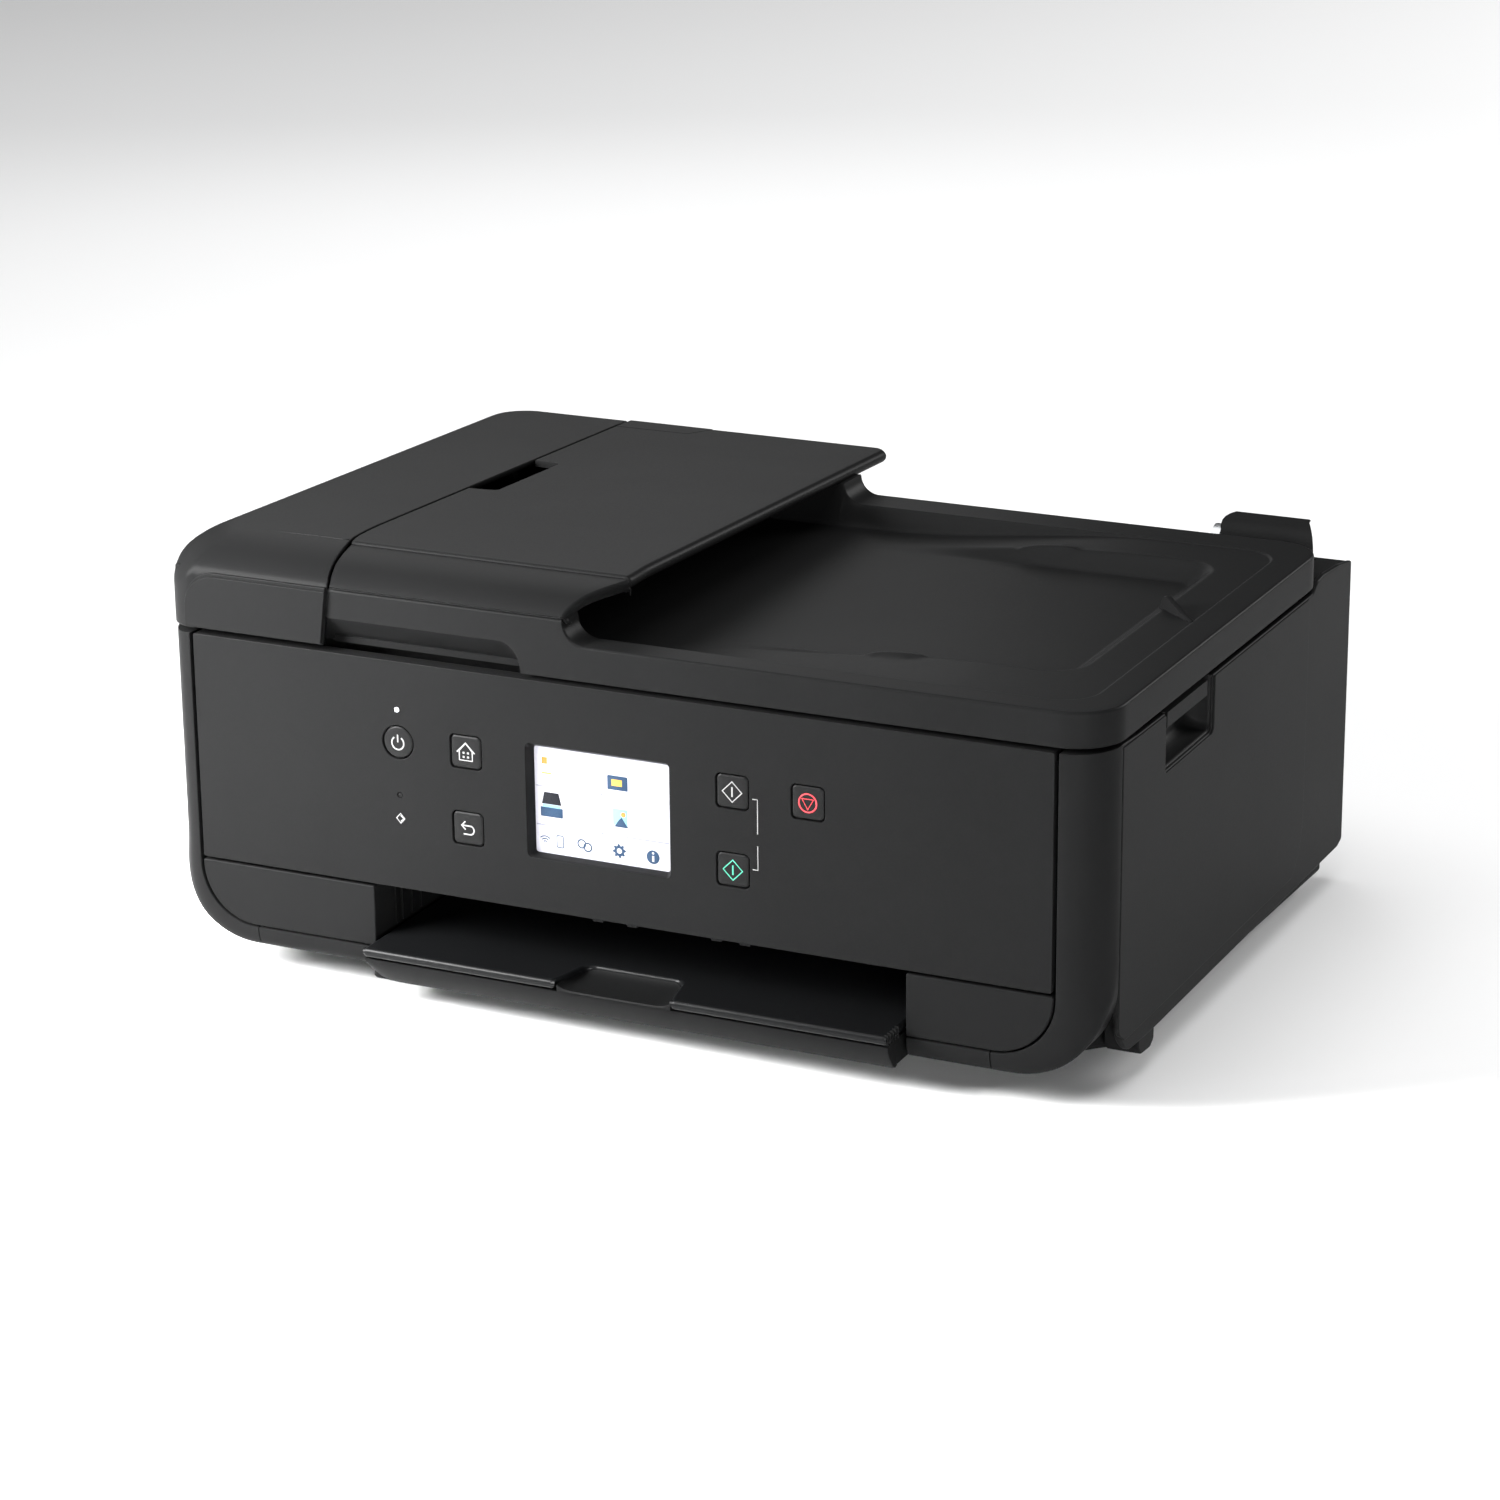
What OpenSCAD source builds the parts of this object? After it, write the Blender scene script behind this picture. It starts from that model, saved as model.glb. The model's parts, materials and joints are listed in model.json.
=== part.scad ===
// Four-in-one inkjet printer with a document feeder on its cover.
// Millimetres, +Z up, -Y is the front. Origin: middle of the footprint, on the table.

/* [Node] */
// which piece to draw

/* [Body] */
// overall width across the side panels
body_w = 438; // [400:1:460]
// from the operation panel's face to the rear wall
body_d = 309; // [300:1:330]
// how far the paper tray stands out of the front
tray_out = 15; // [10:1:20]
// wall thickness of the outer panels
wall = 3; // [2.5:0.1:3.5]
// underside of the front frame
frame_z = 13.5; // [12:0.5:15]
// depth of the front frame
frame_d = 20.2; // [18:0.1:22]
// radius of the frame's lower corners seen from the front
frame_r = 38; // [30:1:42]
// radius of the body's upright front corners
plan_r = 20; // [14:1:24]
// top edge of the side panels
side_z = 151; // [150:0.1:151.5]

/* [Operation panel] */
// half width of the tilting panel
panel_x = 198.2; // [196:0.1:198.5]
// lower edge of the panel
panel_z0 = 51.7; // [51:0.1:54]
// upper edge of the panel
panel_z1 = 152.8; // [152:0.1:153]
// depth of the screen behind the panel's face
screen_y = 4.5; // [2:0.1:5]
// height of the upper row of buttons
row_z1 = 117; // [110:0.1:120]
// height of the lower row of buttons
row_z0 = 83.2; // [78:0.1:90]
// width of a square button
button_w = 14; // [12:0.1:14.4]
// clearance round a button
button_gap = 0.5; // [0.4:0.05:0.7]

/* [Paper path] */
// left end of the paper slot
slot_x0 = -112.5; // [-114:0.1:-111]
// right end of the paper slot
slot_x1 = 134.5; // [133:0.1:136]
// upper face of the output tray
tray_z = 27.4; // [27:0.1:27.8]
// middle of the paper, off the body's centre
paper_x = 11; // [10:0.1:12]

/* [Cover and feeder] */
// underside of the document cover
lid_z0 = 154.4; // [154.2:0.1:155]
// upper face of the document cover
lid_z1 = 169.6; // [168:0.1:171]
// rear edge of the document cover
lid_y1 = 269; // [264:1:270]
// highest line of the feeder
feeder_z = 190.8; // [189:0.1:192]
// fall of the feeder's top towards the back, in degrees
feeder_fall = 2; // [1:0.1:2.2]
// seam between the feeder cover and the document tray
seam_x = -144.4; // [-146:0.1:-143]
// free edge of the document tray
doc_tray_x = -8; // [-12:0.5:-4]
// height of the rear hinge line
hinge_z = 159; // [158:0.5:160]
// distance of the rear hinge line behind the panel's face
hinge_y = 293; // [292:0.5:294]

/* [Hidden] */
$fn = 64;
half_w = body_w / 2;
y_mid = (body_d - tray_out) / 2;
inner_x = half_w - wall;
plate_x = 188.5;
rail_z = 28;
pulley_x = 170;
pulley_z = 90;
pulley_r = 8.3;
tilt = -feeder_fall;

// ---------- helpers ----------
// moves the drawing so that the footprint is centred
module place() {
  translate([0, -y_mid, 0]) children();
}

// box between two corners
module slab(x0, y0, z0, x1, y1, z1) {
  translate([x0, y0, z0]) cube([x1 - x0, y1 - y0, z1 - z0]);
}

// rounded rectangle
module rr(x0, y0, x1, y1, r) {
  translate([x0 + r, y0]) square([x1 - x0 - 2 * r, y1 - y0]);
  translate([x0, y0 + r]) square([x1 - x0, y1 - y0 - 2 * r]);
  for (x = [x0 + r, x1 - r], y = [y0 + r, y1 - r]) translate([x, y]) circle(r);
}

// stands a drawing of x and z up, from y0 back to y1
module front(y0, y1) {
  translate([0, y1, 0]) rotate([90, 0, 0]) linear_extrude(y1 - y0) children();
}

// stands a drawing of y and z up, from x0 across to x1
module side(x0, x1) {
  translate([x0, 0, 0]) rotate([90, 0, 90]) linear_extrude(x1 - x0) children();
}

module plan(z0, z1) {
  translate([0, 0, z0]) linear_extrude(z1 - z0) children();
}

module cyl_x(x0, x1, y, z, r) {
  translate([x0, y, z]) rotate([0, 90, 0]) cylinder(h = x1 - x0, r = r);
}

module cyl_y(y0, y1, x, z, r) {
  translate([x, y1, z]) rotate([90, 0, 0]) cylinder(h = y1 - y0, r = r);
}

// the feeder's sloping top: z 0 is the top face, y runs down the slope
module on_feeder() {
  translate([0, 60, 190]) rotate([tilt, 0, 0]) children();
}

// ---------- outer shell ----------
module bottom_case() color("#242526") place() difference() {
  union() {
    plan(8.5, 11) union() {
      rr(-213.5, 18, 213.5, 302, 10);
      translate([slot_x0 - 0.5, 3]) square([slot_x1 - slot_x0 + 1, 40]);
    }
    plan(11, 41) difference() {
      rr(-213.5, 24, 213.5, 302, 10);
      rr(-211.2, 26.3, 211.2, 299.7, 8);
    }
    for (s = [-1, 1]) slab(s * 190 - 10, 58, 11, s * 190 + 10, 219, rail_z);
    for (s = [-1, 1]) slab(s * 160 - 10, 18.2, 11, s * 160 + 10, 24, frame_z);
    for (x = [-150, 150]) slab(x - 6, 302, 14, x + 6, 306, 28);
  }
  slab(slot_x0, 20, 11, slot_x1, 28, 45);
  for (s = [-1, 1]) slab(s * 205 - 15, 10, 5, s * 205 + 15, 57.5, 34);
  slab(-184, 296, 29, -151, 304, 45);
  slab(146, 296, 29, 190, 304, 45);
}

// frame outline seen from the front, g inside the real edge
module frame_outline(g) {
  translate([-half_w + g, frame_z + frame_r]) square([body_w - 2 * g, panel_z1 - frame_z - frame_r]);
  translate([-half_w + frame_r, frame_z + g]) square([body_w - 2 * frame_r, 60]);
  for (s = [-1, 1]) translate([s * (half_w - frame_r), frame_z + frame_r]) circle(frame_r - g);
}

module front_frame() color("#2b2c2d") place() difference() {
  intersection() {
    front(0, frame_d) difference() {
      frame_outline(0);
      translate([-199.4, 50.9]) square([398.8, 110]);
      rr(-199.4, 22.4, 199.4, 100, 26);
      translate([slot_x0, 5]) square([slot_x1 - slot_x0, 40]);
    }
    plan(0, 160) rr(-half_w, 0, half_w, 100, plan_r);
  }
  intersection() {
    for (s = [-1, 1]) slab(s * 209.2 - 7.3, 2.5, 55, s * 209.2 + 7.3, 30, 150.3);
    plan(0, 160) rr(-half_w + 2.5, 2.5, half_w - 2.5, 100, plan_r - 2.5);
  }
  cyl_x(-202, -199, 4, 147.5, 2.05);
  cyl_x(199, 202, 4, 147.5, 2.05);
}

// lower front cover, drawn for the right side, g inside the real edge
module lower_outline(xi, g) {
  intersection() {
    union() {
      translate([xi + g, 49]) square([198.9 - g - xi - g, 10]);
      translate([xi + g, 23 + g]) square([172.9 - xi - g, 40]);
      translate([172.9, 49]) circle(26 - g);
    }
    translate([0, 0]) square([250, 50.4 - g]);
  }
}

module lower_cover(xi) {
  difference() {
    front(0.3, 18) lower_outline(xi, 0);
    front(2.8, 19) lower_outline(xi, 2.5);
  }
  slab(150, 2.8, 30, 160, 24, 34);
}

module lower_cover_left() color("#2b2c2d") place() mirror([1, 0, 0]) lower_cover(-slot_x0 + 0.5);

module lower_cover_right() color("#2b2c2d") place() lower_cover(slot_x1 + 0.5);

// side panel outline seen from the side
module side_outline() {
  polygon([[20.4, 152.6], [20.4, 42], [21.6, 34], [25, 26.5], [31, 20], [40, 14.5], [50, 11.2], [62, 10],
    [303, 17.4], [306.5, 18.6], [309, 22], [309, 149.5], [308, 151.6], [305, 152.6], [292, 154.6],
    [280, 155.8], [269, 156.2], [263, 155.5], [259, 153.9], [253, side_z], [60, side_z], [40, 151.3],
    [30, 151.9]]);
}

module side_panel() {
  difference() {
    union() {
      side(inner_x, half_w) side_outline();
      slab(203.5, 68.4, 124.2, inner_x, 127, 150.4);
      for (y = [45, 270]) slab(213.5, y, 16, inner_x, y + 12, 28);
    }
    slab(205.5, 70.4, 126.2, 217, 125, 160);
    side(215, 220) rr(70.4, 126.2, 125, 190, 3.5);
    slab(203, 68, 143.5, 205.6, 128, 160);
  }
}

module side_panel_right() color("#2d2e2f") place() side_panel();

module side_panel_left() color("#2d2e2f") place() mirror([1, 0, 0]) side_panel();

module rear_cover() color("#28292a") place() difference() {
  union() {
    front(body_d - 3, body_d) difference() {
      translate([-215.8, 17.6]) square([431.6, 134.2]);
      translate([-216, 140]) square([211, 20]);
    }
    slab(202.5, 286, 149.3, 215.8, 306, 151.8);
    slab(-203, 286, 128, 203, 306, 130);
  }
  slab(-180.2, 304, 30.8, -154.8, 310, 51.2);
  slab(149.8, 304, 33.8, 186.2, 310, 50.2);
  for (i = [0:9]) slab(-60 + i * 13, 304, 90, -53 + i * 13, 310, 93);
}

module rubber_feet() color("#151515") place() for (x = [-160, 160], y = [62, 275])
  translate([x, y, 0]) cylinder(h = 8.5, r = 9);

// ---------- chassis and print mechanism ----------
module chassis() color("#9a9c9e") place() difference() {
  union() {
    for (s = [-1, 1]) slab(s * 189.25 - 0.75, 60, rail_z, s * 189.25 + 0.75, 217.5, 112);
    slab(-plate_x, 216, rail_z, plate_x, 217.5, 112);
    for (x = [-62, 81]) slab(x, 217.5, rail_z, x + 3, 243, 48);
    for (y = [84, 196], z = [42, 102]) cyl_x(190, 194, y, z, 3);
    cyl_y(180.6, 216, pulley_x, pulley_z, 1.5);
  }
  cyl_x(-195, 195, 175, 56, 3.06);
  cyl_x(-195, 195, 95, 52, 3.06);
  cyl_x(-70, 90, 235, 38, 2.56);
  slab(-50, 215, 60, 60, 219, 76);
}

module carriage_rail() color("#b4b6b8") place() {
  slab(-plate_x, 172, 84, plate_x, 173.5, 108);
  slab(-plate_x, 173.5, 106.5, plate_x, 182, 108);
}

module platen() color("#1d1e1f") place() {
  slab(-150, 102, 46, 112, 166, 51);
  for (i = [0:15]) slab(-142 + i * 16, 104, 51, -140 + i * 16, 164, 53.5);
  slab(-plate_x, 110, 46, -150, 150, 50);
}

module ink_absorber() color("#c9c6bd") place() slab(138, 60, 11, 178, 200, 24);

module purge_unit() color("#3a3b3c") place() {
  slab(118, 102, 28.2, 176, 160, 50);
  slab(176, 118, 40, plate_x, 132, 46);
  difference() {
    slab(124, 110, 50, 150, 152, 55.6);
    slab(126, 112, 52, 148, 150, 56);
  }
  slab(158, 112, 50, 160, 150, 56);
}

module power_supply() color("#2a2a2a") place() {
  slab(-177, 62, 11, -118, 200, 44);
  slab(-160, 200, 20, -140, 206, 32);
}

module main_board() color("#1f5a34") place() {
  slab(194, 72, 32, 195.6, 208, 112);
  slab(195.6, 100, 60, 198, 130, 90);
  slab(195.6, 150, 70, 200, 190, 80);
  slab(195.6, 90, 38, 202, 140, 46);
}

module ac_inlet() color("#161616") place() {
  difference() {
    slab(-180, 292, 31, -155, body_d, 51);
    front(297, 310) rr(-176, 35, -159, 47, 3);
  }
  cyl_y(297, 306, -172, 41, 1.2);
  cyl_y(297, 306, -163, 41, 1.2);
}

module rear_jacks() color("#b9bbbd") place() difference() {
  union() {
    slab(150, 292, 34, 165, body_d, 47);
    slab(169, 292, 34, 186, body_d, 50);
  }
  slab(152.5, 297, 36.5, 162.5, 310, 44.5);
  slab(172, 297, 37, 183, 310, 46);
}

module carriage_motor() color("#8d8f91") place() {
  cyl_y(190, 216, -pulley_x, pulley_z, 13);
  cyl_y(180.6, 190, -pulley_x, pulley_z, 1.5);
}

module feed_motor() color("#8d8f91") place() cyl_x(-208, -190, 140, 75, 15);

// loop round both pulleys, r its radius at the ends
module belt_outline(r) {
  translate([-pulley_x, pulley_z - r]) square([2 * pulley_x, 2 * r]);
  for (s = [-1, 1]) translate([s * pulley_x, pulley_z]) circle(r);
}

module carriage_belt() color("#1a1a1a") place() front(181.5, 187.5) difference() {
  belt_outline(9.8);
  belt_outline(8.6);
}

module hinge_posts() color("#7f8183") place() for (s = [0, 1]) mirror([s, 0, 0]) {
  for (x = [159, 193]) {
    slab(x, hinge_y - 4.5, 130, x + 4, hinge_y + 4.5, hinge_z);
    cyl_x(x, x + 4, hinge_y, hinge_z, 8);
  }
  cyl_x(163, 193, hinge_y, hinge_z, 3);
}

module feed_roller() color("#4a4b4c") place() {
  cyl_x(-193, 193, 175, 56, 3);
  cyl_x(-150, 160, 175, 56, 6);
  cyl_x(-187, -181.5, 175, 56, 14);
}

module exit_roller() color("#4a4b4c") place() {
  cyl_x(-193, 193, 95, 52, 3);
  for (i = [0:4]) cyl_x(-120 + i * 60, -106 + i * 60, 95, 52, 4.4);
  cyl_x(-187, -181.5, 95, 52, 10);
}

module pickup_roller() color("#2c2c2c") place() {
  cyl_x(-62, 84, 235, 38, 2.5);
  for (x = [-12, 20]) cyl_x(x, x + 14, 235, 38, 10);
}

module pulley(x) {
  difference() {
    union() {
      cyl_y(181.3, 187.7, x, pulley_z, pulley_r);
      cyl_y(180.6, 181.3, x, pulley_z, 8.5);
      cyl_y(187.7, 188.4, x, pulley_z, 8.5);
    }
    cyl_y(180, 189, x, pulley_z, 1.55);
  }
}

module drive_pulley() color("#c8c9ca") place() pulley(-pulley_x);

module idler_pulley() color("#c8c9ca") place() pulley(pulley_x);

module print_carriage() color("#202122") place() {
  difference() {
    slab(88, 98, 62, 178, 168, 100);
    slab(90.5, 100.5, 64.5, 175.5, 165.5, 101);
  }
  slab(128, 168, 76, 138, 190, 79.6);
}

module print_head() color("#555759") place() {
  slab(104, 112, 57.4, 162, 150, 60);
  slab(98, 106, 60, 168, 158, 62);
}

module tank(x0, x1) {
  slab(x0, 103, 64.5, x1, 164, 104);
  slab(x0 + 1, 103, 104, x1 - 1, 122, 107);
}

module tank_large_black() color("#1c1c1e") place() tank(91.5, 114.5);

module tank_black() color("#2a2a2e") place() tank(115.3, 129.3);

module tank_cyan() color("#2a6f9a") place() tank(130.1, 144.1);

module tank_magenta() color("#9a2a66") place() tank(144.9, 158.9);

module tank_yellow() color("#c9a92a") place() tank(159.7, 173.7);

// ---------- operation panel ----------
// place of each button: x, z
button_at = [[-98.5, row_z1], [-65.8, row_z1], [-65.8, row_z0], [57.9, row_z1], [57.9, row_z0],
  [91.8, row_z1]];

module control_panel() color("#2c2d2e") place() difference() {
  union() {
    slab(-panel_x, 0, panel_z0, panel_x, 3, panel_z1);
    slab(-panel_x, 3, panel_z1 - 2.5, panel_x, 8, panel_z1);
    slab(-panel_x, 3, panel_z0, panel_x, 14, panel_z0 + 2.5);
    for (s = [-1, 1]) side(s * 196.95 - 1.25, s * 196.95 + 1.25)
      polygon([[3, panel_z0], [14, panel_z0], [14, 138], [8, 144], [8, panel_z1], [3, panel_z1]]);
    for (s = [-1, 1]) cyl_x(s * 199.4 - 2, s * 199.4 + 2, 4, 147.5, 2);
    slab(-40, 3, 72.5, 32, 7.5, 127.7);
  }
  slab(-37.5, -1, 75.1, 29.3, screen_y + 1.5, 125.1);
  cyl_y(-1, 4, button_at[0][0], button_at[0][1], button_w / 2 + button_gap);
  for (i = [1:5]) front(-1, 4) translate(button_at[i])
    rr(-button_w / 2 - button_gap, -button_w / 2 - button_gap,
      button_w / 2 + button_gap, button_w / 2 + button_gap, 2.5);
  cyl_y(-1, 4, -98.7, 131.4, 1.2);
  cyl_y(-1, 4, -98.3, 93.6, 1.2);
}

module touch_screen() color("#d9dbe8") place() slab(-37.4, screen_y, 75.2, 29.2, screen_y + 1.5, 125);

module status_lens() color("#e8eaee") place() {
  cyl_y(0.1, 5, -98.7, 131.4, 1.15);
  cyl_y(0.1, 5, -98.3, 93.6, 1.15);
  slab(-110, 3, 129.4, -97, 5, 133.4);
  slab(-110, 3, 91.6, -97, 5, 95.6);
  slab(-110, 3, 91.6, -107, 5, 133.4);
}

module round_button() {
  cyl_y(0, 3, button_at[0][0], button_at[0][1], button_w / 2);
  cyl_y(3, 6.5, button_at[0][0], button_at[0][1], 3);
}

module square_button(i) {
  front(0, 3) translate(button_at[i]) rr(-button_w / 2, -button_w / 2, button_w / 2, button_w / 2, 2);
  cyl_y(3, 6.5, button_at[i][0], button_at[i][1], 3);
}

module power_button() color("#2a2b2c") place() round_button();

module home_button() color("#2a2b2c") place() square_button(1);

module back_button() color("#2a2b2c") place() square_button(2);

module black_start_button() color("#2a2b2c") place() square_button(3);

module colour_start_button() color("#2a2b2c") place() square_button(4);

module stop_button() color("#2a2b2c") place() square_button(5);

// ---------- scanner ----------
module scanner_base() color("#252627") place() {
  difference() {
    slab(-202, 27, 120, 202, 284, side_z);
    slab(-199.5, 29.5, 122.5, 199.5, 281.5, side_z + 1);
  }
  for (s = [-1, 1]) slab(s * 210.3 - 8.3, 71.5, 144.5, s * 210.3 + 8.3, 118.5, side_z);
}

module scanner_frame() color("#1f2021") place() plan(side_z, 153.9) difference() {
  rr(-214, 25, 214, 284, 8);
  translate([-158, 42]) square([320, 222]);
  translate([-180, 42]) square([16, 222]);
}

module platen_glass() color("#a9c4c9") place() {
  slab(-158, 42, side_z + 0.4, 162, 264, 153.9);
  slab(-180, 42, side_z + 0.4, -164, 264, 153.9);
}

module scan_rod() color("#c5c7c9") place() cyl_x(-199.5, 199.5, 150, 137, 3);

module scan_carriage() color("#303132") place() difference() {
  union() {
    slab(-182, 46, 140, -162, 260, 149.6);
    slab(-182, 138, 131, -162, 162, 140);
  }
  cyl_x(-190, -150, 150, 137, 3.06);
}

module hinge_brackets() color("#7f8183") place() for (s = [0, 1]) mirror([s, 0, 0]) difference() {
  union() {
    cyl_x(165, 175, hinge_y, hinge_z, 7);
    slab(165, 284, 146, 175, hinge_y, 158);
  }
  cyl_x(164, 176, hinge_y, hinge_z, 3.06);
}

// ---------- document cover and feeder ----------
// long sheet well seen from the front
module well_outline() {
  polygon([[-136, 159.5], [110, 159.5], [150, 160], [172, 161], [182, 164], [187.5, lid_z1], [190, 200],
    [-136, 200]]);
}

module document_cover() color("#2c2d2e") place() {
  difference() {
    union() {
      plan(lid_z0, lid_z1) union() {
        rr(-150, 1.4, 219.4, lid_y1, 22);
        rr(-214.5, 4.4, -100, lid_y1, 17);
      }
      front(1.4, 34) difference() {
        translate([-131.2, 165]) square([122, 15.2]);
        translate([-9.2, 180.2]) circle(10.6);
        translate([-9.2, 169.6]) square([20, 20]);
      }
      front(252, lid_y1) difference() {
        translate([-131.2, 165]) square([136, 13.4]);
        translate([4.2, 179]) circle(9.4);
      }
      for (s = [-1, 1]) slab(s * 184 - 6, lid_y1 - 4, 156, s * 184 + 6, hinge_y, 165);
      for (s = [-1, 1]) cyl_x(s * 184 - 6, s * 184 + 6, hinge_y, hinge_z, 7);
      for (y = [30, 226]) {
        slab(-217.4, y, 156.6, -214, y + 6, 158.6);
        cyl_y(y, y + 6, -217.4, 157.6, 1.8);
        cyl_y(y - 2.5, y + 8.5, -217.4, 157.6, 1);
      }
    }
    front(50, 240) well_outline();
    slab(-153, 35, 150, 166, 263, 157);
    slab(-211, 10, 150, -156, 265, 166.8);
    slab(170, 26, 150, 190, 262, 158.6);
    slab(192, 26, 150, 216, 250, 166.8);
    slab(-30, 5, 150, 190, 32, 166.8);
    slab(-128.5, 4, 168, -22, 31.5, 179);
    slab(-128.5, 255, 168, -14, 266, 176.5);
    front(0, 13) difference() {
      rr(-130.5, 140, -41, 167.4, 8);
      translate([-140, 130]) square([105, 20]);
    }
    slab(-138, 1, 150, -130, 13, 162);
    slab(-138, 1, 160, -131.4, 13, 170);
    cyl_x(-191, -177, hinge_y, hinge_z, 3.06);
    cyl_x(177, 191, hinge_y, hinge_z, 3.06);
  }
}

module platen_pad() color("#e9e9e6") place() slab(-152, 36, 154.5, 165, 262, 157);

module hinge_cap() color("#2c2d2e") place() {
  difference() {
    cyl_x(157, 201, hinge_y, hinge_z, 12.4);
    cyl_x(156, 202, hinge_y, hinge_z, 10.4);
    slab(177.8, 270, 150, 190.2, 290, 165.2);
    slab(156, 270, 140, 202, 310, hinge_z);
    side(156, 202) polygon([[hinge_y, hinge_z], [hinge_y + 30, hinge_z + 21], [hinge_y + 30, 150]]);
  }
  for (x = [158, 190.2]) slab(x, lid_y1, hinge_z, x + (x < 170 ? 19.8 : 9.8), 282.8, hinge_z + 2);
}

// side profile of the feeder's front roll and top, g under the real surface
module roll_outline(g) {
  polygon([[g, 140], [g, 175], [0.7 + g * 0.9, 178.6 - g * 0.3], [2.6 + g * 0.8, 181.6 - g * 0.5],
    [6.2 + g * 0.6, 184.6 - g * 0.7], [11.5 + g * 0.4, 187 - g * 0.85], [20 + g * 0.25, 189.2 - g * 0.95],
    [30 + g * 0.1, 190.4 - g], [38, feeder_z - g], [60, 190 - g], [306 - g, 181.4 - g], [306 - g, 140]]);
}

module feeder_housing() color("#252627") place() {
  intersection() {
    side(-131.2, -5) difference() {
      roll_outline(0);
      roll_outline(2.4);
    }
    plan(180.8, 195) polygon([[-131.2, 1.6], [-19.5, 1.6], [-5.5, 35.8], [-131.2, 35.8]]);
  }
  slab(-131.2, 32, 180.2, -8, 34.4, 188);
  difference() {
    union() {
      slab(-210, 12, lid_z1, -147, 264, lid_z1 + 2);
      for (y = [58, 201]) slab(-200, y, lid_z1 + 2, -150, y + 4, 180.8);
    }
    cyl_y(50, 210, -162, 176.8, 2.06);
    cyl_y(50, 210, -188, 176.2, 2.06);
    slab(-198, 66, lid_z1 - 1, -151, 197, lid_z1 + 3);
  }
}

// left end of the feeder seen from the front, g inside the real edge
module cap_outline(g) {
  translate([-194.4, 140]) square([80, 60]);
  translate([-219.4 + g, 140]) square([40, 26]);
  translate([-193.4, 166]) circle(26 - g);
}

// feeder cover seen from above, g inside the real edge
module cap_plan(g) {
  difference() {
    rr(-219.4 + g, g, -100, 306 - g, 22 - g);
    polygon([[-132.6, -5], [-132.6, 28], [-133.4, 37], [-136.4, 46], [-141, 54], [seam_x, 62],
      [seam_x, 320], [-60, 320], [-60, -5]]);
  }
}

module cap_solid(g) {
  intersection() {
    side(-225, -100) roll_outline(g);
    front(-5, 320) cap_outline(g);
    plan(140, 200) cap_plan(g);
  }
}

module feeder_cover() color("#2d2e2f") place() difference() {
  union() {
    difference() {
      cap_solid(0);
      intersection() {
        cap_solid(2.4);
        plan(130, 187.8) translate([-230, -10]) square([200, 330]);
      }
      slab(-240, -10, 130, -100, 330, 155.3);
      side(-240, -100) polygon([[246, 150], [252, 157.8], [266, 158.4], [271, 168], [320, 168],
        [320, 150]]);
    }
    for (y = [24.8, 220.8]) {
      slab(-218.8, y, 155.6, -215.9, y + 4.6, 159.8);
      slab(-218.8, y + 11.8, 155.6, -215.9, y + 16.4, 159.8);
    }
  }
  for (y = [29.6, 225.6]) slab(-222, y, 150, -214, y + 6.8, 160.8);
  for (y = [26.8, 222.8]) cyl_y(y, y + 12.4, -217.4, 157.6, 1.05);
}

module document_tray() color("#2d2e2f") place() {
  on_feeder() plan(-3.2, 0) polygon([[-130.8, -22.4], [-133.5, -14], [-138.2, -6], [-142.6, 2],
    [-142.6, 88], [-131, 88], [-131, 148], [-142.6, 148], [-142.6, 244], [doc_tray_x, 244],
    [doc_tray_x, -5], [doc_tray_x + 2.4, -22.4]]);
  on_feeder() slab(doc_tray_x - 2.4, -4, -6, doc_tray_x, 188, -3.2);
  for (y = [[-8, 86], [150, 206]]) on_feeder() cyl_y(y[0], y[1], -136, -4.4, 2.2);
}

module feeder_roller() color("#2c2c2c") place() {
  cyl_y(56, 207, -162, 176.8, 2);
  for (y = [100, 140]) cyl_y(y, y + 24, -162, 176.8, 6.6);
}

module feeder_exit_roller() color("#2c2c2c") place() {
  cyl_y(56, 207, -188, 176.2, 2);
  for (y = [80, 120, 160]) cyl_y(y, y + 16, -188, 176.2, 6);
}

// ---------- paper trays ----------
module output_tray() color("#101112") place() difference() {
  plan(23.5, tray_z) rr(slot_x0 + 1.6, -tray_out, slot_x1 - 1.6, 185, 2);
  plan(20, 30) rr(-17, -40, 33.5, 8, 5);
}

module paper_cassette() color("#1b1c1d") place() {
  difference() {
    slab(slot_x0 + 1.6, -9, 11.2, slot_x1 - 1.6, 282, 23.1);
    slab(slot_x0 + 3.8, -6.5, 13.2, slot_x1 - 3.8, 279.8, 24);
  }
  front(-13, -9) intersection() {
    rr(slot_x0 + 1.6, 10.3, slot_x1 - 1.6, 40, 9);
    translate([-200, 0]) square([400, 23.1]);
  }
}

module paper_guide_left() color("#3a3b3c") place() {
  slab(-98, 110, 13.3, -96, 200, 22.6);
  slab(-96, 140, 13.3, -70, 156, 14.3);
}

module paper_guide_right() color("#3a3b3c") place() {
  slab(118, 110, 13.3, 120, 200, 22.6);
  slab(92, 140, 13.3, 118, 156, 14.3);
}

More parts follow.
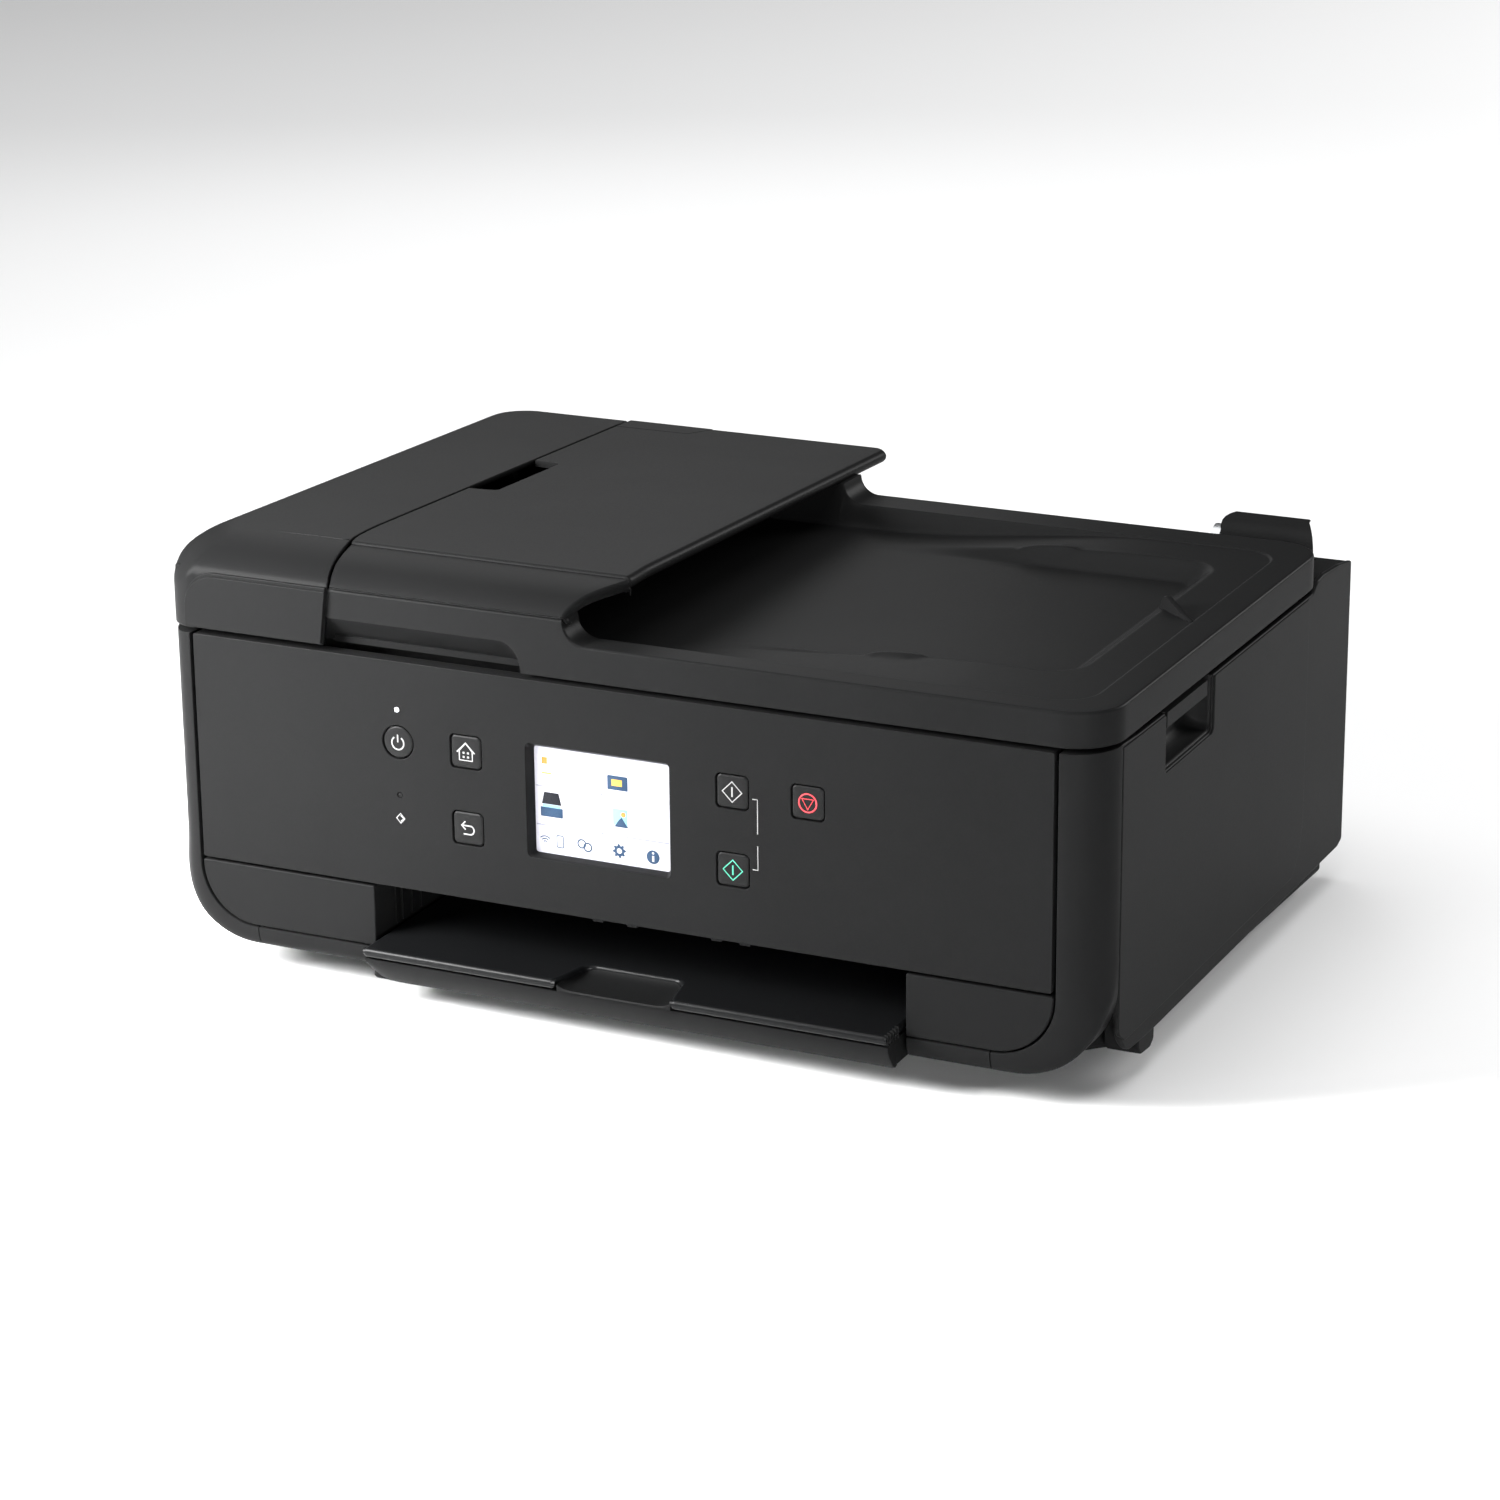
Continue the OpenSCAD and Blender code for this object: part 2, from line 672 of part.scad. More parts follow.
bottom_case();
front_frame();
side_panel_right();
side_panel_left();
rear_cover();
lower_cover_left();
lower_cover_right();
rubber_feet();
chassis();
carriage_rail();
platen();
ink_absorber();
purge_unit();
power_supply();
main_board();
ac_inlet();
rear_jacks();
carriage_motor();
feed_motor();
carriage_belt();
hinge_posts();
feed_roller();
exit_roller();
pickup_roller();
drive_pulley();
idler_pulley();
print_carriage();
print_head();
tank_large_black();
tank_black();
tank_cyan();
tank_magenta();
tank_yellow();
control_panel();
touch_screen();
status_lens();
power_button();
home_button();
back_button();
black_start_button();
colour_start_button();
stop_button();
scanner_base();
scanner_frame();
platen_glass();
scan_rod();
scan_carriage();
hinge_brackets();
document_cover();
platen_pad();
hinge_cap();
feeder_housing();
feeder_cover();
document_tray();
feeder_roller();
feeder_exit_roller();
output_tray();
paper_cassette();
paper_guide_left();
paper_guide_right();
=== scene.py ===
import bmesh
import bpy
import json
import math
from mathutils import Matrix, Vector


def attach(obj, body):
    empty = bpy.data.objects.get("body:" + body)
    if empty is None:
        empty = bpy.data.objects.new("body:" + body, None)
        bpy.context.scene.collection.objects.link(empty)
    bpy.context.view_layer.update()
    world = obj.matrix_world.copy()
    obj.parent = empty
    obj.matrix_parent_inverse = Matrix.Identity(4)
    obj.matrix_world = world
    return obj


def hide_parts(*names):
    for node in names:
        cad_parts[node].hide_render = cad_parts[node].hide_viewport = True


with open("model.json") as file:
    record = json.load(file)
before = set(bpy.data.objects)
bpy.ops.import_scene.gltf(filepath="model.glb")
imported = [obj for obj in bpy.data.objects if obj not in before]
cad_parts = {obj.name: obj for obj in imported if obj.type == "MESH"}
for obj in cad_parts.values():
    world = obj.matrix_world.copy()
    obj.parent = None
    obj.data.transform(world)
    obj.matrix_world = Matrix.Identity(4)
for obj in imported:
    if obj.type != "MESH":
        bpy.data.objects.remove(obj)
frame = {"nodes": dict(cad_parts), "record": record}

# Millimetres below: x to the right, y back from the operation panel's face, z up from the table.
Y_MID = 147.0
# camera, half widths of the front frame, its lower strip, and the axis of the lid hinge
VIEW_AZ, VIEW_EL, VIEW_ROLL = 25.768, 18.512, -0.556
VIEW_AIM, VIEW_DISTANCE = (-0.0062, 0.003, 0.0804), 1.926447
LENS, SENSOR = 103.96, 36
FRAME_RIGHT, FRAME_LEFT = 219.0, 213.2
STRIP_TOP, STRIP_LOW, CORNER_X = 22.4, 13.5, 172.3
HINGE_Y, HINGE_Z = 293, 159
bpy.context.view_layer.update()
scene = bpy.context.scene
pi = math.pi


# ---------------------------------------------------------------- camera, floor and light
def vec(az, el):
    a, e = math.radians(az), math.radians(el)
    return Vector((math.sin(a) * math.cos(e), -math.cos(a) * math.cos(e), math.sin(e)))


cam = bpy.data.objects.new("camera", bpy.data.cameras.new("camera"))
scene.collection.objects.link(cam)
scene.camera = cam
cam.data.lens, cam.data.sensor_width = LENS, SENSOR
cam.data.clip_start, cam.data.clip_end = 0.05, 60
back = vec(VIEW_AZ, VIEW_EL)
right = Vector((math.cos(math.radians(VIEW_AZ)), math.sin(math.radians(VIEW_AZ)), 0))
up = back.cross(right)
roll = math.radians(VIEW_ROLL)
r2, u2 = right * math.cos(roll) + up * math.sin(roll), up * math.cos(roll) - right * math.sin(roll)
m = Matrix((r2, u2, back)).transposed().to_4x4()
m.translation = Vector(VIEW_AIM) + back * VIEW_DISTANCE
cam.matrix_world = m


def lamp(name, az, el, dist, size, power, aim=(0, 0, 0.08), size_y=None):
    data = bpy.data.lights.new(name, "AREA")
    data.shape, data.size, data.size_y = "RECTANGLE", size, size_y or size
    data.energy = power
    ob = bpy.data.objects.new(name, data)
    scene.collection.objects.link(ob)
    aim = Vector(aim)
    ob.location = aim + vec(az, el) * dist
    ob.rotation_mode = "QUATERNION"
    ob.rotation_quaternion = (aim - ob.location).to_track_quat("-Z", "Y")
    return ob


lamp("top_light", -20, 84, 3.0, 3.0, 84)
lamp("floor_light", 120, 30, 3.4, 1.6, 130, aim=(-0.6, 2.2, 0))
lamp("left_light", -40, 30, 0.46, 0.3, 17, aim=(-0.16, -0.147, 0.13))
lamp("front_light", 36, 5, 2.0, 0.5, 26, size_y=0.5)
lamp("rear_light", 208, 24, 1.7, 0.8, 2.4, aim=(-0.14, 0.05, 0.19))
spot = lamp("right_floor_light", 0, 89.9, 1.0, 0.3, 3, aim=(0.44, -0.62, 0))
spot.data.spread = math.radians(45)

world = bpy.data.worlds.new("studio")
scene.world = world
world.use_nodes = True
world.node_tree.nodes["Background"].inputs["Color"].default_value = (0.97, 0.98, 1.0, 1)
world.node_tree.nodes["Background"].inputs["Strength"].default_value = 0.1
scene.view_settings.view_transform = "Standard"


# ---------------------------------------------------------------- materials
def nodes_of(name):
    mat = bpy.data.materials.new(name)
    mat.use_nodes = True
    nt = mat.node_tree
    return mat, nt, nt.nodes["Principled BSDF"]


def material(name, colour, rough=0.5, grain=1500.0, bump=0.02, spread=0.12, rough_spread=0.06, metal=0.0,
             coat=0.0, ior=1.5, streak=None, glow=0.0, clear=0.0, sheen=0.0, spec=0.5):
    """Grain, colour variation and roughness variation all come from noise in the piece's own space."""
    mat, nt, b = nodes_of(name)
    b.inputs["Metallic"].default_value = metal
    b.inputs["IOR"].default_value = ior
    b.inputs["Coat Weight"].default_value = coat
    b.inputs["Coat Roughness"].default_value = 0.08
    b.inputs["Transmission Weight"].default_value = clear
    b.inputs["Sheen Weight"].default_value = sheen
    b.inputs["Specular IOR Level"].default_value = spec
    new, link = nt.nodes.new, nt.links.new
    tex = new("ShaderNodeTexCoord")
    mapping = new("ShaderNodeMapping")
    mapping.inputs["Scale"].default_value = streak or (1, 1, 1)
    link(tex.outputs["Object"], mapping.inputs["Vector"])
    fine = new("ShaderNodeTexNoise")
    fine.inputs["Scale"].default_value = grain
    fine.inputs["Detail"].default_value = 3
    fine.inputs["Roughness"].default_value = 0.65
    link(mapping.outputs["Vector"], fine.inputs["Vector"])
    broad = new("ShaderNodeTexNoise")
    broad.inputs["Scale"].default_value = 14
    broad.inputs["Detail"].default_value = 4
    link(tex.outputs["Object"], broad.inputs["Vector"])
    ramp = new("ShaderNodeValToRGB")
    lo = [c * (1 - spread) for c in colour]
    hi = [min(1, c * (1 + spread)) for c in colour]
    ramp.color_ramp.elements[0].position, ramp.color_ramp.elements[1].position = 0.3, 0.7
    ramp.color_ramp.elements[0].color = (*lo, 1)
    ramp.color_ramp.elements[1].color = (*hi, 1)
    mixed = new("ShaderNodeMath")
    mixed.operation = "MULTIPLY_ADD"
    mixed.inputs[1].default_value = 0.7
    link(fine.outputs["Fac"], mixed.inputs[0])
    third = new("ShaderNodeMath")
    third.operation = "MULTIPLY"
    third.inputs[1].default_value = 0.3
    link(broad.outputs["Fac"], third.inputs[0])
    link(third.outputs[0], mixed.inputs[2])
    link(mixed.outputs[0], ramp.inputs["Fac"])
    link(ramp.outputs["Color"], b.inputs["Base Color"])
    wear = new("ShaderNodeMapRange")
    wear.inputs["From Min"].default_value, wear.inputs["From Max"].default_value = 0.3, 0.7
    wear.inputs["To Min"].default_value = max(0.02, rough - rough_spread)
    wear.inputs["To Max"].default_value = min(1, rough + rough_spread)
    link(mixed.outputs[0], wear.inputs["Value"])
    link(wear.outputs["Result"], b.inputs["Roughness"])
    bp = new("ShaderNodeBump")
    bp.inputs["Strength"].default_value = 1.0
    bp.inputs["Distance"].default_value = bump * 0.001
    link(fine.outputs["Fac"], bp.inputs["Height"])
    link(bp.outputs["Normal"], b.inputs["Normal"])
    if glow:
        link(ramp.outputs["Color"], b.inputs["Emission Color"])
        b.inputs["Emission Strength"].default_value = glow
    return mat


MAT = {
    "shell_black": material("shell_plastic", (0.0088, 0.0089, 0.009), 0.38, 1500, 0.022, 0.12, 0.04,
                            spec=0.022),
    # dark_inner is a darker copy of the shell plastic: its lower base colour is painted shade on the hollows,
    # inner parts and undersides that use it
    "dark_inner": material("inner_plastic_painted_shade", (0.005, 0.0051, 0.0052), 0.55, 1300, 0.02, 0.15, 0.06, spec=0.07),
    "gloss_black": material("tray_plastic", (0.004, 0.0042, 0.0045), 0.34, 1800, 0.006, 0.15, 0.05,
                            spec=0.13),
    "screen": material("display", (0.31, 0.31, 0.345), 0.25, 900, 0.002, 0.02, 0.03, glow=0.85, spec=0.1),
    "lens": material("lamp_lens", (0.75, 0.78, 0.82), 0.3, 900, 0.004, 0.03, 0.05, glow=0.5),
    "rubber": material("rubber", (0.012, 0.012, 0.012), 0.8, 700, 0.05, 0.2, 0.1, sheen=0.1),
    "steel": material("sheet_steel", (0.42, 0.43, 0.44), 0.35, 500, 0.01, 0.1, 0.1, metal=1,
                      streak=(1, 1, 14)),
    "rod_steel": material("rod_steel", (0.6, 0.61, 0.62), 0.16, 500, 0.004, 0.06, 0.05, metal=1,
                          streak=(1, 18, 18)),
    "motor_steel": material("motor_can", (0.4, 0.41, 0.42), 0.3, 700, 0.006, 0.1, 0.08, metal=1),
    "foam": material("felt_pad", (0.55, 0.53, 0.47), 0.95, 420, 0.3, 0.2, 0.04, sheen=0.3),
    "pad_white": material("white_pad", (0.75, 0.75, 0.73), 0.7, 900, 0.03, 0.04, 0.05),
    "board_green": material("circuit_board", (0.02, 0.12, 0.05), 0.35, 260, 0.02, 0.4, 0.12),
    "grey_plastic": material("grey_plastic", (0.035, 0.036, 0.038), 0.5, 1300, 0.02, 0.15, 0.06),
    "pulley_plastic": material("acetal", (0.55, 0.56, 0.56), 0.4, 1000, 0.01, 0.06, 0.06),
    "glass": material("platen_glass", (0.85, 0.93, 0.92), 0.03, 300, 0.001, 0.02, 0.01, clear=0.92),
    "ink_cyan": material("tank_cyan", (0.01, 0.13, 0.27), 0.35, 900, 0.01, 0.12, 0.06),
    "ink_magenta": material("tank_magenta", (0.27, 0.01, 0.09), 0.35, 900, 0.01, 0.12, 0.06),
    "ink_yellow": material("tank_yellow", (0.5, 0.33, 0.02), 0.35, 900, 0.01, 0.12, 0.06),
    "button_black": material("key_plastic", (0.0065, 0.0066, 0.0067), 0.42, 1700, 0.012, 0.15, 0.05,
                             spec=0.09),
}
INK = {
    "grey": material("print_grey", (0.26, 0.26, 0.26), 0.5, 2500, 0.002, 0.05, spec=0.15),
    "green": material("print_green", (0.06, 0.32, 0.22), 0.5, 2500, 0.002, 0.05, spec=0.15),
    "red": material("print_red", (0.55, 0.05, 0.06), 0.5, 2500, 0.002, 0.05, spec=0.15),
    "navy": material("icon_navy", (0.02, 0.04, 0.075), 0.3, 2500, 0.001, 0.05, glow=0.3, spec=0.1),
    "black": material("icon_black", (0.008, 0.009, 0.012), 0.3, 2500, 0.001, 0.05, glow=0.3, spec=0.1),
    "sky": material("icon_blue", (0.13, 0.26, 0.33), 0.3, 2500, 0.001, 0.05, glow=0.9, spec=0.1),
    "pale": material("icon_pale", (0.24, 0.31, 0.36), 0.3, 2500, 0.001, 0.05, glow=0.9, spec=0.1),
    "white": material("icon_white", (0.40, 0.41, 0.44), 0.3, 2500, 0.001, 0.03, glow=0.9, spec=0.1),
    "orange": material("icon_orange", (0.5, 0.13, 0.03), 0.3, 2500, 0.001, 0.05, glow=0.9, spec=0.1),
    "yellow": material("icon_yellow", (0.42, 0.24, 0.05), 0.3, 2500, 0.001, 0.05, glow=0.9, spec=0.1),
    "line": material("icon_line", (0.17, 0.175, 0.21), 0.3, 2500, 0.001, 0.03, glow=0.9, spec=0.1),
}


# ---------------------------------------------------------------- drawing helpers
def arc(cu, cv, r, a0, a1, n=8):
    return [(cu + r * math.cos(math.radians(a0 + (a1 - a0) * i / n)),
             cv + r * math.sin(math.radians(a0 + (a1 - a0) * i / n))) for i in range(n + 1)]


def poly(*pts, n=8):
    """Closed outline. Each point is (u, v) or (u, v, corner radius)."""
    out = []
    for i, p in enumerate(pts):
        c = Vector(p[:2])
        if len(p) < 3:
            out.append(tuple(c))
            continue
        a = (Vector(pts[i - 1][:2]) - c).normalized()
        b = (Vector(pts[(i + 1) % len(pts)][:2]) - c).normalized()
        half = a.angle(b) / 2
        mid = c + (a + b).normalized() * (p[2] / math.sin(half))
        s, e = c + a * (p[2] / math.tan(half)) - mid, c + b * (p[2] / math.tan(half)) - mid
        a0 = math.atan2(s.y, s.x)
        turn = (math.atan2(e.y, e.x) - a0 + pi) % (2 * pi) - pi
        out += [(mid.x + p[2] * math.cos(a0 + turn * k / n), mid.y + p[2] * math.sin(a0 + turn * k / n))
                for k in range(n + 1)]
    return out


def box2(u0, v0, u1, v1, r=0.0, n=8):
    return poly((u0, v0, r), (u1, v0, r), (u1, v1, r), (u0, v1, r), n=n) if r else \
        [(u0, v0), (u1, v0), (u1, v1), (u0, v1)]


def from_object(ob):
    me = bpy.data.meshes.new_from_object(ob.evaluated_get(bpy.context.evaluated_depsgraph_get()))
    data = ob.data
    bpy.data.objects.remove(ob)
    (bpy.data.curves if isinstance(data, bpy.types.Curve) else bpy.data.meshes).remove(data)
    return me


def plate(loops, plane, d0, d1, r=0.6, seg=3):
    """Flat piece with rounded edges: outline first, holes after it. plane is front, side or plan."""
    cu = bpy.data.curves.new("outline", "CURVE")
    cu.dimensions, cu.fill_mode = "2D", "BOTH"
    cu.extrude, cu.bevel_depth, cu.bevel_resolution, cu.offset = (d1 - d0) / 2 - r, r, seg, -r
    for lp in loops:
        sp = cu.splines.new("POLY")
        sp.points.add(len(lp) - 1)
        for q, (u, v) in zip(sp.points, lp):
            q.co = (u, v, 0, 1)
        sp.use_cyclic_u = True
    ob = bpy.data.objects.new("outline", cu)
    scene.collection.objects.link(ob)
    me = from_object(ob)
    mid = (d0 + d1) / 2
    for v in me.vertices:
        a, b, h = v.co
        v.co = {"front": (a, mid + h, b), "side": (mid + h, a, b), "plan": (a, b, mid + h)}[plane]
    return me


def line(points, width, cyclic=False, y=0.0, lift=0.06):
    """Thin printed line in the front plane."""
    cu = bpy.data.curves.new("line", "CURVE")
    cu.dimensions, cu.bevel_depth, cu.bevel_resolution = "3D", width / 2, 2
    cu.use_fill_caps = True
    sp = cu.splines.new("POLY")
    sp.points.add(len(points) - 1)
    for q, (u, v) in zip(sp.points, points):
        q.co = (u, 0, v, 1)
    sp.use_cyclic_u = cyclic
    ob = bpy.data.objects.new("line", cu)
    scene.collection.objects.link(ob)
    me = from_object(ob)
    for v in me.vertices:
        v.co.y = y + v.co.y * 2 * lift / width
    return me


def loft(rings, closed=True, cap=True, wrap=False):
    bm = bmesh.new()
    rows = [[bm.verts.new(p) for p in ring] for ring in rings]
    n = len(rows[0])
    pairs = list(zip(rows, rows[1:])) + ([(rows[-1], rows[0])] if wrap else [])
    for a, b in pairs:
        for i in range(n if closed else n - 1):
            j = (i + 1) % n
            bm.faces.new((a[i], a[j], b[j], b[i]))
    if cap and not wrap:
        bm.faces.new(rows[0])
        bm.faces.new(rows[-1])
    me = bpy.data.meshes.new("loft")
    bm.to_mesh(me)
    bm.free()
    return me


def joined(*meshes):
    bm = bmesh.new()
    for me in meshes:
        bm.from_mesh(me)
        bpy.data.meshes.remove(me)
    me = bpy.data.meshes.new("joined")
    bm.to_mesh(me)
    bm.free()
    return me


def tidy(me, dist=0.0005):
    bm = bmesh.new()
    bm.from_mesh(me)
    bmesh.ops.remove_doubles(bm, verts=bm.verts, dist=dist)
    bmesh.ops.dissolve_degenerate(bm, edges=bm.edges, dist=dist)
    bmesh.ops.recalc_face_normals(bm, faces=bm.faces)
    bm.to_mesh(me)
    bm.free()
    return me


def piece(name, me, body, mat, replaces=(), sharp=32, weighted=True, shell=0.0):
    tidy(me)
    me.transform(Matrix.Translation((0, -Y_MID / 1000, 0)) @ Matrix.Scale(0.001, 4))
    me.name = name
    me.materials.clear()
    me.materials.append(MAT.get(mat) or INK[mat])
    for p in me.polygons:
        p.use_smooth = True
    me.set_sharp_from_angle(angle=math.radians(sharp))
    ob = bpy.data.objects.new(name, me)
    scene.collection.objects.link(ob)
    if shell:
        so = ob.modifiers.new("wall", "SOLIDIFY")
        so.thickness, so.offset, so.use_even_offset = shell / 1000, -1, False
    if weighted:
        wn = ob.modifiers.new("normals", "WEIGHTED_NORMAL")
        wn.keep_sharp = True
    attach(ob, body)
    if replaces:
        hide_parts(*replaces)
    return ob


def smooth(t):
    t = min(1.0, max(0.0, t))
    return t * t * (3 - 2 * t)


def mix(a, b, t):
    return a + (b - a) * t


def along(table, t):
    """Value at t on straight lines between the (t, value) pairs of the table."""
    if t <= table[0][0]:
        return table[0][1]
    for (t0, v0), (t1, v1) in zip(table, table[1:]):
        if t <= t1:
            return mix(v0, v1, (t - t0) / (t1 - t0))
    return table[-1][1]


def mirrored(me):
    me.transform(Matrix.Scale(-1, 4, (1, 0, 0)))
    me.flip_normals()
    return me


# ---------------------------------------------------------------- front frame
def frame_half(to_x, half):
    """Column, lower corner and, to to_x, the seam; right side, out to half."""
    path = [((199.9, z), (half, z)) for z in (152.8, 152.2, 140, 120, 100, 80, 60, 52)]
    for i in range(1, 25):
        a = math.radians(-90 * i / 24)
        path.append(((173.4 + 26.5 * math.cos(a), 48.9 + 26.5 * math.sin(a)),
                     (half - 38 + 38 * math.cos(a), 51.5 + 38 * math.sin(a))))
    path.append(((to_x, STRIP_TOP), (to_x, STRIP_LOW)))
    rings = []
    for k, (i, o) in enumerate(path):
        i, o = Vector(i), Vector(o)
        w = (o - i).length
        deep = mix(20.0, 4.0, smooth((62 - o.y) / 42))
        pull = 0.02 if k == 0 else 0.0
        sec = [(0, 20.2), (0, 0.7), (0.2, 0.2), (0.7, 0)]
        sec += [(0.7 + (w - 0.7) * math.sin(math.radians(a)), deep * (1 - math.cos(math.radians(a))))
                for a in (8, 16, 24, 32, 40, 48, 56, 64, 72, 80, 86, 90)]
        sec += [(w, 20.2)]
        mid = Vector((w / 2, 12))
        ring = []
        for u, y in sec:
            u, y = mix(u, mid.x, pull), mix(y, mid.y, pull)
            q = i + (o - i) * (u / w)
            ring.append((q.x, y, q.y))
        rings.append(ring)
    return loft(rings)


piece("frame_right", frame_half(CORNER_X, FRAME_RIGHT), "base", "shell_black", ["front_frame"])
piece("frame_left", mirrored(frame_half(CORNER_X, FRAME_LEFT)), "base", "shell_black", ["front_frame"])


def strip(x0, x1, deep):
    prof = [(20.2, STRIP_TOP), (0.7, STRIP_TOP), (0.2, 22.2), (0, 21.7)]
    prof += [(deep * (1 - math.cos(math.radians(a))), 21.7 - 8.2 * math.sin(math.radians(a)))
             for a in range(10, 91, 10)]
    prof += [(20.2, STRIP_LOW)]
    return loft([[(x, y, z) for y, z in prof] for x in (x0, x1)])


piece("frame_strip_right", strip(135.4, 171.8, 4.0), "base", "shell_black", ["front_frame"])
piece("frame_strip_left", strip(-171.8, -113.4, 4.0), "base", "shell_black", ["front_frame"])


# ---------------------------------------------------------------- side panels
def side_panel():
    outline = poly((21.1, 152.2, 0.6), (21.1, 42, 20), (25, 26, 12), (34, 17.6, 14), (58, 16.4, 8),
                   (303, 17.4, 3), (309, 19.5, 2.5), (309, 152.2, 1.0), (292, 154.6, 30), (270, 156.0, 8),
                   (262, 155.2, 3), (255.5, 151.0, 4), (126.6, 151.0, 0.8), (126.2, 126.4, 3.4),
                   (70.2, 126.0, 1.8), (70.0, 151.0, 0.8), (40, 151.3), (24, 152.2))
    base = plate([outline], "side", 215.6, 218.3, 0.9)
    pad = poly((21.6, 150.9, 0.6), (21.6, 29.5, 6), (29, 24.4, 4), (236, 24.6, 4), (244.5, 33, 8),
               (249, 46, 12), (249, 150.4, 0.6), (127.2, 150.4, 0.8), (126.8, 125.8, 3.8), (69.6, 125.4, 2.2),
               (69.4, 150.4, 0.8))
    skin = plate([pad], "side", 217.2, 219.0, 0.45)
    return joined(base, skin)


def pocket():
    """Rounded hand hold open to the outside and the top."""
    rings = []
    for x, g in ((217.6, 0.0), (216, 0.0), (213, 0.6), (210, 1.6), (207.5, 3.2), (206.3, 5.2), (205.9, 8)):
        rings.append([(x, y, z) for y, z in [(70.3 + g, 151)] + poly(
            (70.3 + g, 152), (70.3 + g, 126.1 + g, 3.0), (126.3 - g, 126.4 + g, 5.0), (126.3 - g, 152),
            n=8)[1:-1]
            + [(126.3 - g, 151)]])
    me = loft(rings, closed=False, cap=False)
    back_wall = loft([[(205.9, 78.3, 151), (205.9, 118.3, 151)], [(205.9, 78.3, 134), (205.9, 118.3, 134)]],
                     closed=False, cap=False)
    return joined(me, back_wall)


for side, flip in (("right", False), ("left", True)):
    a, b = side_panel(), pocket()
    if flip:
        a, b = mirrored(a), mirrored(b)
        for v in list(a.vertices) + list(b.vertices):
            v.co.x += 5.8 * (309 - v.co.y) / 288
    piece("side_skin_" + side, a, "base", "shell_black", ["side_panel_" + side])
    piece("side_pocket_" + side, b, "base", "dark_inner", ["side_panel_" + side], shell=1.2)

# foot-like block under the side panel and the strip behind it
block = poly((47, 26), (47, 14, 2.5), (50, 10.2, 3), (61, 9.4, 2.5), (65, 12, 2.5), (65.5, 26), n=5)
piece("side_foot_right", plate([block], "side", 203, 218.2, 0.8), "base", "shell_black", ["side_panel_right"])
piece("side_foot_left", plate([block], "side", -213.4, -201, 0.8), "base", "shell_black", ["side_panel_left"])

# pan under the body, cut back behind the frame's round corners
pan = poly((-208, 62, 8), (-172, 26, 6), (-113, 20), (135, 20), (172, 26, 6), (208, 62, 8), (213.4, 302, 10),
           (-213.4, 302, 10))
pan_hole = poly((-205, 63, 8), (-170, 29, 6), (-113, 29), (135, 29), (170, 29, 6), (205, 63, 8),
                (210.6, 299.4, 8), (-210.6, 299.4, 8))
piece("bottom_pan", joined(plate([pan], "plan", 8.5, 11.2, 0.8),
                           plate([pan, pan_hole], "plan", 10.8, 22, 0.4)),
      "base", "dark_inner", ["bottom_case"])

# ---------------------------------------------------------------- lower covers
cover_r = poly((134.9, 50.2, 0.8), (134.9, 22.9, 0.8), (173, 22.9), *arc(172.9, 48.9, 26, -90, 0, 14)[1:-1],
               (198.9, 50.2, 0.8))
cover_l = poly((-113.0, 50.2, 0.8), (-113.0, 22.9, 0.8), (-173, 22.9),
               *[(-u, v) for u, v in arc(172.9, 48.9, 26, -90, 0, 14)[1:-1]], (-198.9, 50.2, 0.8))
piece("lower_cover_right_skin", plate([cover_r], "front", 0.3, 18, 0.7), "base", "shell_black",
      ["lower_cover_right"])
piece("lower_cover_left_skin", plate([cover_l], "front", 0.3, 18, 0.7), "base", "shell_black",
      ["lower_cover_left"])


# ---------------------------------------------------------------- operation panel
KEYS = {"power_button": (-98.5, 117.1), "home_button": (-65.8, 117.1), "back_button": (-65.8, 83.2),
        "black_start_button": (57.9, 117.0), "colour_start_button": (57.9, 83.2),
        "stop_button": (91.8, 117.0)}
holes = [box2(-37.5, 75.1, 29.3, 125.1, 2.2)]
holes.append(arc(*KEYS["power_button"], 7.55, 0, 360 - 360 / 40, 39))
for n in list(KEYS)[1:]:
    u, v = KEYS[n]
    holes.append(box2(u - 7.6, v - 7.6, u + 7.6, v + 7.6, 2.4))
holes += [arc(-98.7, 131.4, 1.35, 0, 345, 23), arc(-98.4, 93.6, 1.25, 0, 345, 23)]
skin = plate([box2(-198.3, 51.6, 198.3, 152.9, 1.0)] + holes, "front", 0, 3, 0.35)
rim = joined(plate([box2(-198.0, 150.2, 198.0, 152.7)], "front", 2.6, 8, 0.3),
             plate([box2(-198.0, 51.9, 198.0, 54.2)], "front", 2.6, 14, 0.3),
             plate([box2(-198.0, 52, -195.7, 148)], "front", 2.6, 13, 0.3),
             plate([box2(195.7, 52, 198.0, 148)], "front", 2.6, 13, 0.3))
piece("panel_skin", joined(skin, rim), "panel", "shell_black", ["control_panel"])
# frame of the display recess, sloping in to the glass
rings = [[(u, y, v) for u, v in box2(x0, z0, x1, z1, r, 6)] for y, x0, z0, x1, z1, r in (
    (2.2, -38.6, 74.0, 30.4, 126.2, 2.4), (0.5, -37.6, 75.0, 29.4, 125.2, 2.2),
    (0.9, -37.2, 75.4, 29.0, 124.8, 2.0), (4.3, -35.7, 76.2, 27.1, 123.0, 1.2),
    (5.6, -35.6, 76.3, 27.0, 122.9, 1.2), (6.2, -36.4, 75.6, 27.8, 123.6, 1.6))]
piece("screen_frame", loft(rings, cap=False), "panel", "button_black", ["control_panel"], shell=0.6)
piece("display", plate([box2(-37.2, 75.3, 29.0, 124.8, 0.8)], "front", 4.5, 6.0, 0.2), "panel", "screen",
      ["touch_screen"])
piece("white_lamp", plate([arc(-98.7, 131.4, 1.15, 0, 345, 23)], "front", 0.15, 4.5, 0.3), "panel", "lens",
      ["status_lens"])
